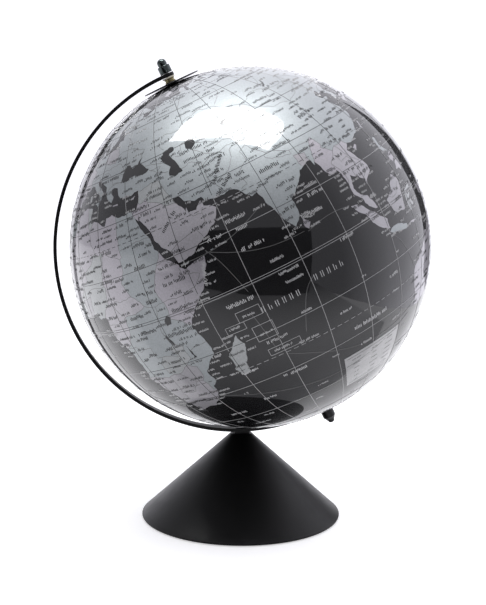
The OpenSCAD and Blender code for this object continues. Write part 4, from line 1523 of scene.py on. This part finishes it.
def faded_felt():
    """Felt for a card on the table, with painted shade: dark far before the globe, and dark beside
    the stand as a painted shadow of the globe.
    """
    material, nodes, links = new_material("faded_felt")
    shader = nodes["Principled BSDF"]
    preset(shader, {"Roughness": 1.0, "Specular IOR Level": 0.0})
    place = nodes.new("ShaderNodeTexCoord")
    split = nodes.new("ShaderNodeSeparateXYZ")
    along = nodes.new("ShaderNodeMapRange")
    preset(along, {"From Min": -0.75, "From Max": -0.05})
    links.new(place.outputs["Object"], split.inputs["Vector"])
    links.new(split.outputs["Y"], along.inputs["Value"])
    # Painted light and shade of the table as the gloss mirrors it: dark far in front, lightest
    # nearer, and darker again beside the stand, a painted shadow of the globe.
    shades = [(0.0, grey(0.19)), (0.33, grey(0.5)), (0.75, grey(1.0)), (1.0, grey(0.55))]
    links.new(ramp(nodes, links, along.outputs["Result"], shades), shader.inputs["Base Color"])
    return material


def cards():
    """Dark cards, for the gaps between the lamps of a studio that the gloss mirrors, and a card
    with painted shade of the table.
    """
    felt = surface("card_felt", grey(0.02), grey(0.03), (0.9, 1.0), size=20, gloss=0.0)
    west, east, top, distance = -0.8, 0.27, 0.40, -0.62
    gloss_stage("front_card", [(west, distance, 0), (east, distance, 0), (east, distance, top),
                               (west, distance, top)], felt)
    behind = 0.95
    gloss_stage("gap_card", [(0.78, behind, 0), (1.32, behind, 0), (1.32, behind, 0.75),
                             (0.80, behind, 1.15)], felt)
    # The table card carries painted shade of the table and a painted shadow of the globe, for the
    # gloss to mirror.
    left, right, front, back, height = -1.2, 0.42, -0.9, -0.06, 0.001
    gloss_stage("table_card", [(left, front, height), (right, front, height),
                               (right, back, height), (left, back, height)], faded_felt())


def lamp_sheet():
    """A bright cloth overhead, to the left: it is the white patch on the gloss of the globe."""
    height = 1.55
    outline = [(-1.0, 0.14), (-0.68, 0.24), (-0.47, 0.28), (-0.24, 0.21), (0.12, 0.02),
               (0.32, -0.15), (0.31, -0.38), (0.11, -0.71), (-0.1, -0.57), (-0.23, -0.56),
               (-0.31, -0.39), (-0.63, -0.22), (-0.82, -0.08)]
    cloth = surface("lamp_cloth", grey(0.8), grey(0.85), (0.8, 0.9), size=20)
    gloss_stage("lamp_sheet", [(x, y, height) for x, y in outline], glowing(cloth, 13.0))


def soft_light():
    """A large overhead light that shades without showing in the gloss."""
    data = bpy.data.lights.new("soft_light", "AREA")
    data.shape = "SQUARE"
    data.size = 3.0
    data.energy = 36
    light = bpy.data.objects.new("soft_light", data)
    light.location = (0.0, -0.1, 2.4)
    light.visible_camera = False
    light.visible_glossy = False
    scene.collection.objects.link(light)


def white_room():
    """A white room, lightest behind and to the right, darkest before; seen pure white."""
    world = bpy.data.worlds.new("studio")
    world.use_nodes = True
    nodes, links = world.node_tree.nodes, world.node_tree.links
    background = nodes["Background"]
    direction = nodes.new("ShaderNodeTexCoord")
    lean = nodes.new("ShaderNodeVectorMath")
    lean.operation = "DOT_PRODUCT"
    lean.inputs[1].default_value = (0.75, 0.82, 0.2)
    depth = nodes.new("ShaderNodeMapRange")
    preset(depth, {"From Min": 0.0, "From Max": 0.65, "To Min": 0.56, "To Max": 1.5})
    path = nodes.new("ShaderNodeLightPath")
    level = nodes.new("ShaderNodeMapRange")
    preset(level, {"To Max": 1.3})
    links.new(direction.outputs["Generated"], lean.inputs[0])
    links.new(lean.outputs["Value"], depth.inputs["Value"])
    links.new(depth.outputs["Result"], level.inputs["To Min"])
    links.new(path.outputs["Is Camera Ray"], level.inputs["Value"])
    links.new(level.outputs["Result"], background.inputs["Strength"])
    preset(background, {"Color": (0.93, 0.925, 1, 1)})
    scene.world = world


def studio():
    """The room, the table, the cards and the lamps."""
    white_room()
    floor()
    cards()
    lamp_sheet()
    soft_light()
    scene.view_settings.view_transform = "Standard"


def camera():
    """Stands left of the front, a little above the globe's middle, and looks slightly down."""
    data = bpy.data.cameras.new("camera")
    data.sensor_width = 36
    data.lens = 63.7
    data.clip_start = 0.01
    view = bpy.data.objects.new("camera", data)
    view.location = (-0.1502, -0.8861, 0.2998)
    aim = Vector((0.00095, 0, 0.1837))
    turn = (aim - view.location).to_track_quat("-Z", "Y").to_matrix().to_4x4()
    roll = Matrix.Rotation(math.radians(0.36), 4, "Z")
    view.rotation_euler = (turn @ roll).to_euler()
    scene.collection.objects.link(view)
    scene.camera = view


half_skin("sea_north", POLE, "north_map")
half_skin("sea_south", -POLE, "south_map")
equator_tape()
build_map()
cone()
strip()
north_knob()
south_cap()
collar()
round_washer("top_washer", "north_top_washer", CREAM_NYLON)
round_washer("disc_washer", "north_disc_washer", BLACK_STEEL)
round_washer("lower_washer", "south_washer", CREAM_NYLON, side=-1)
hour_disc()
finish_kept_nodes()
studio()
camera()
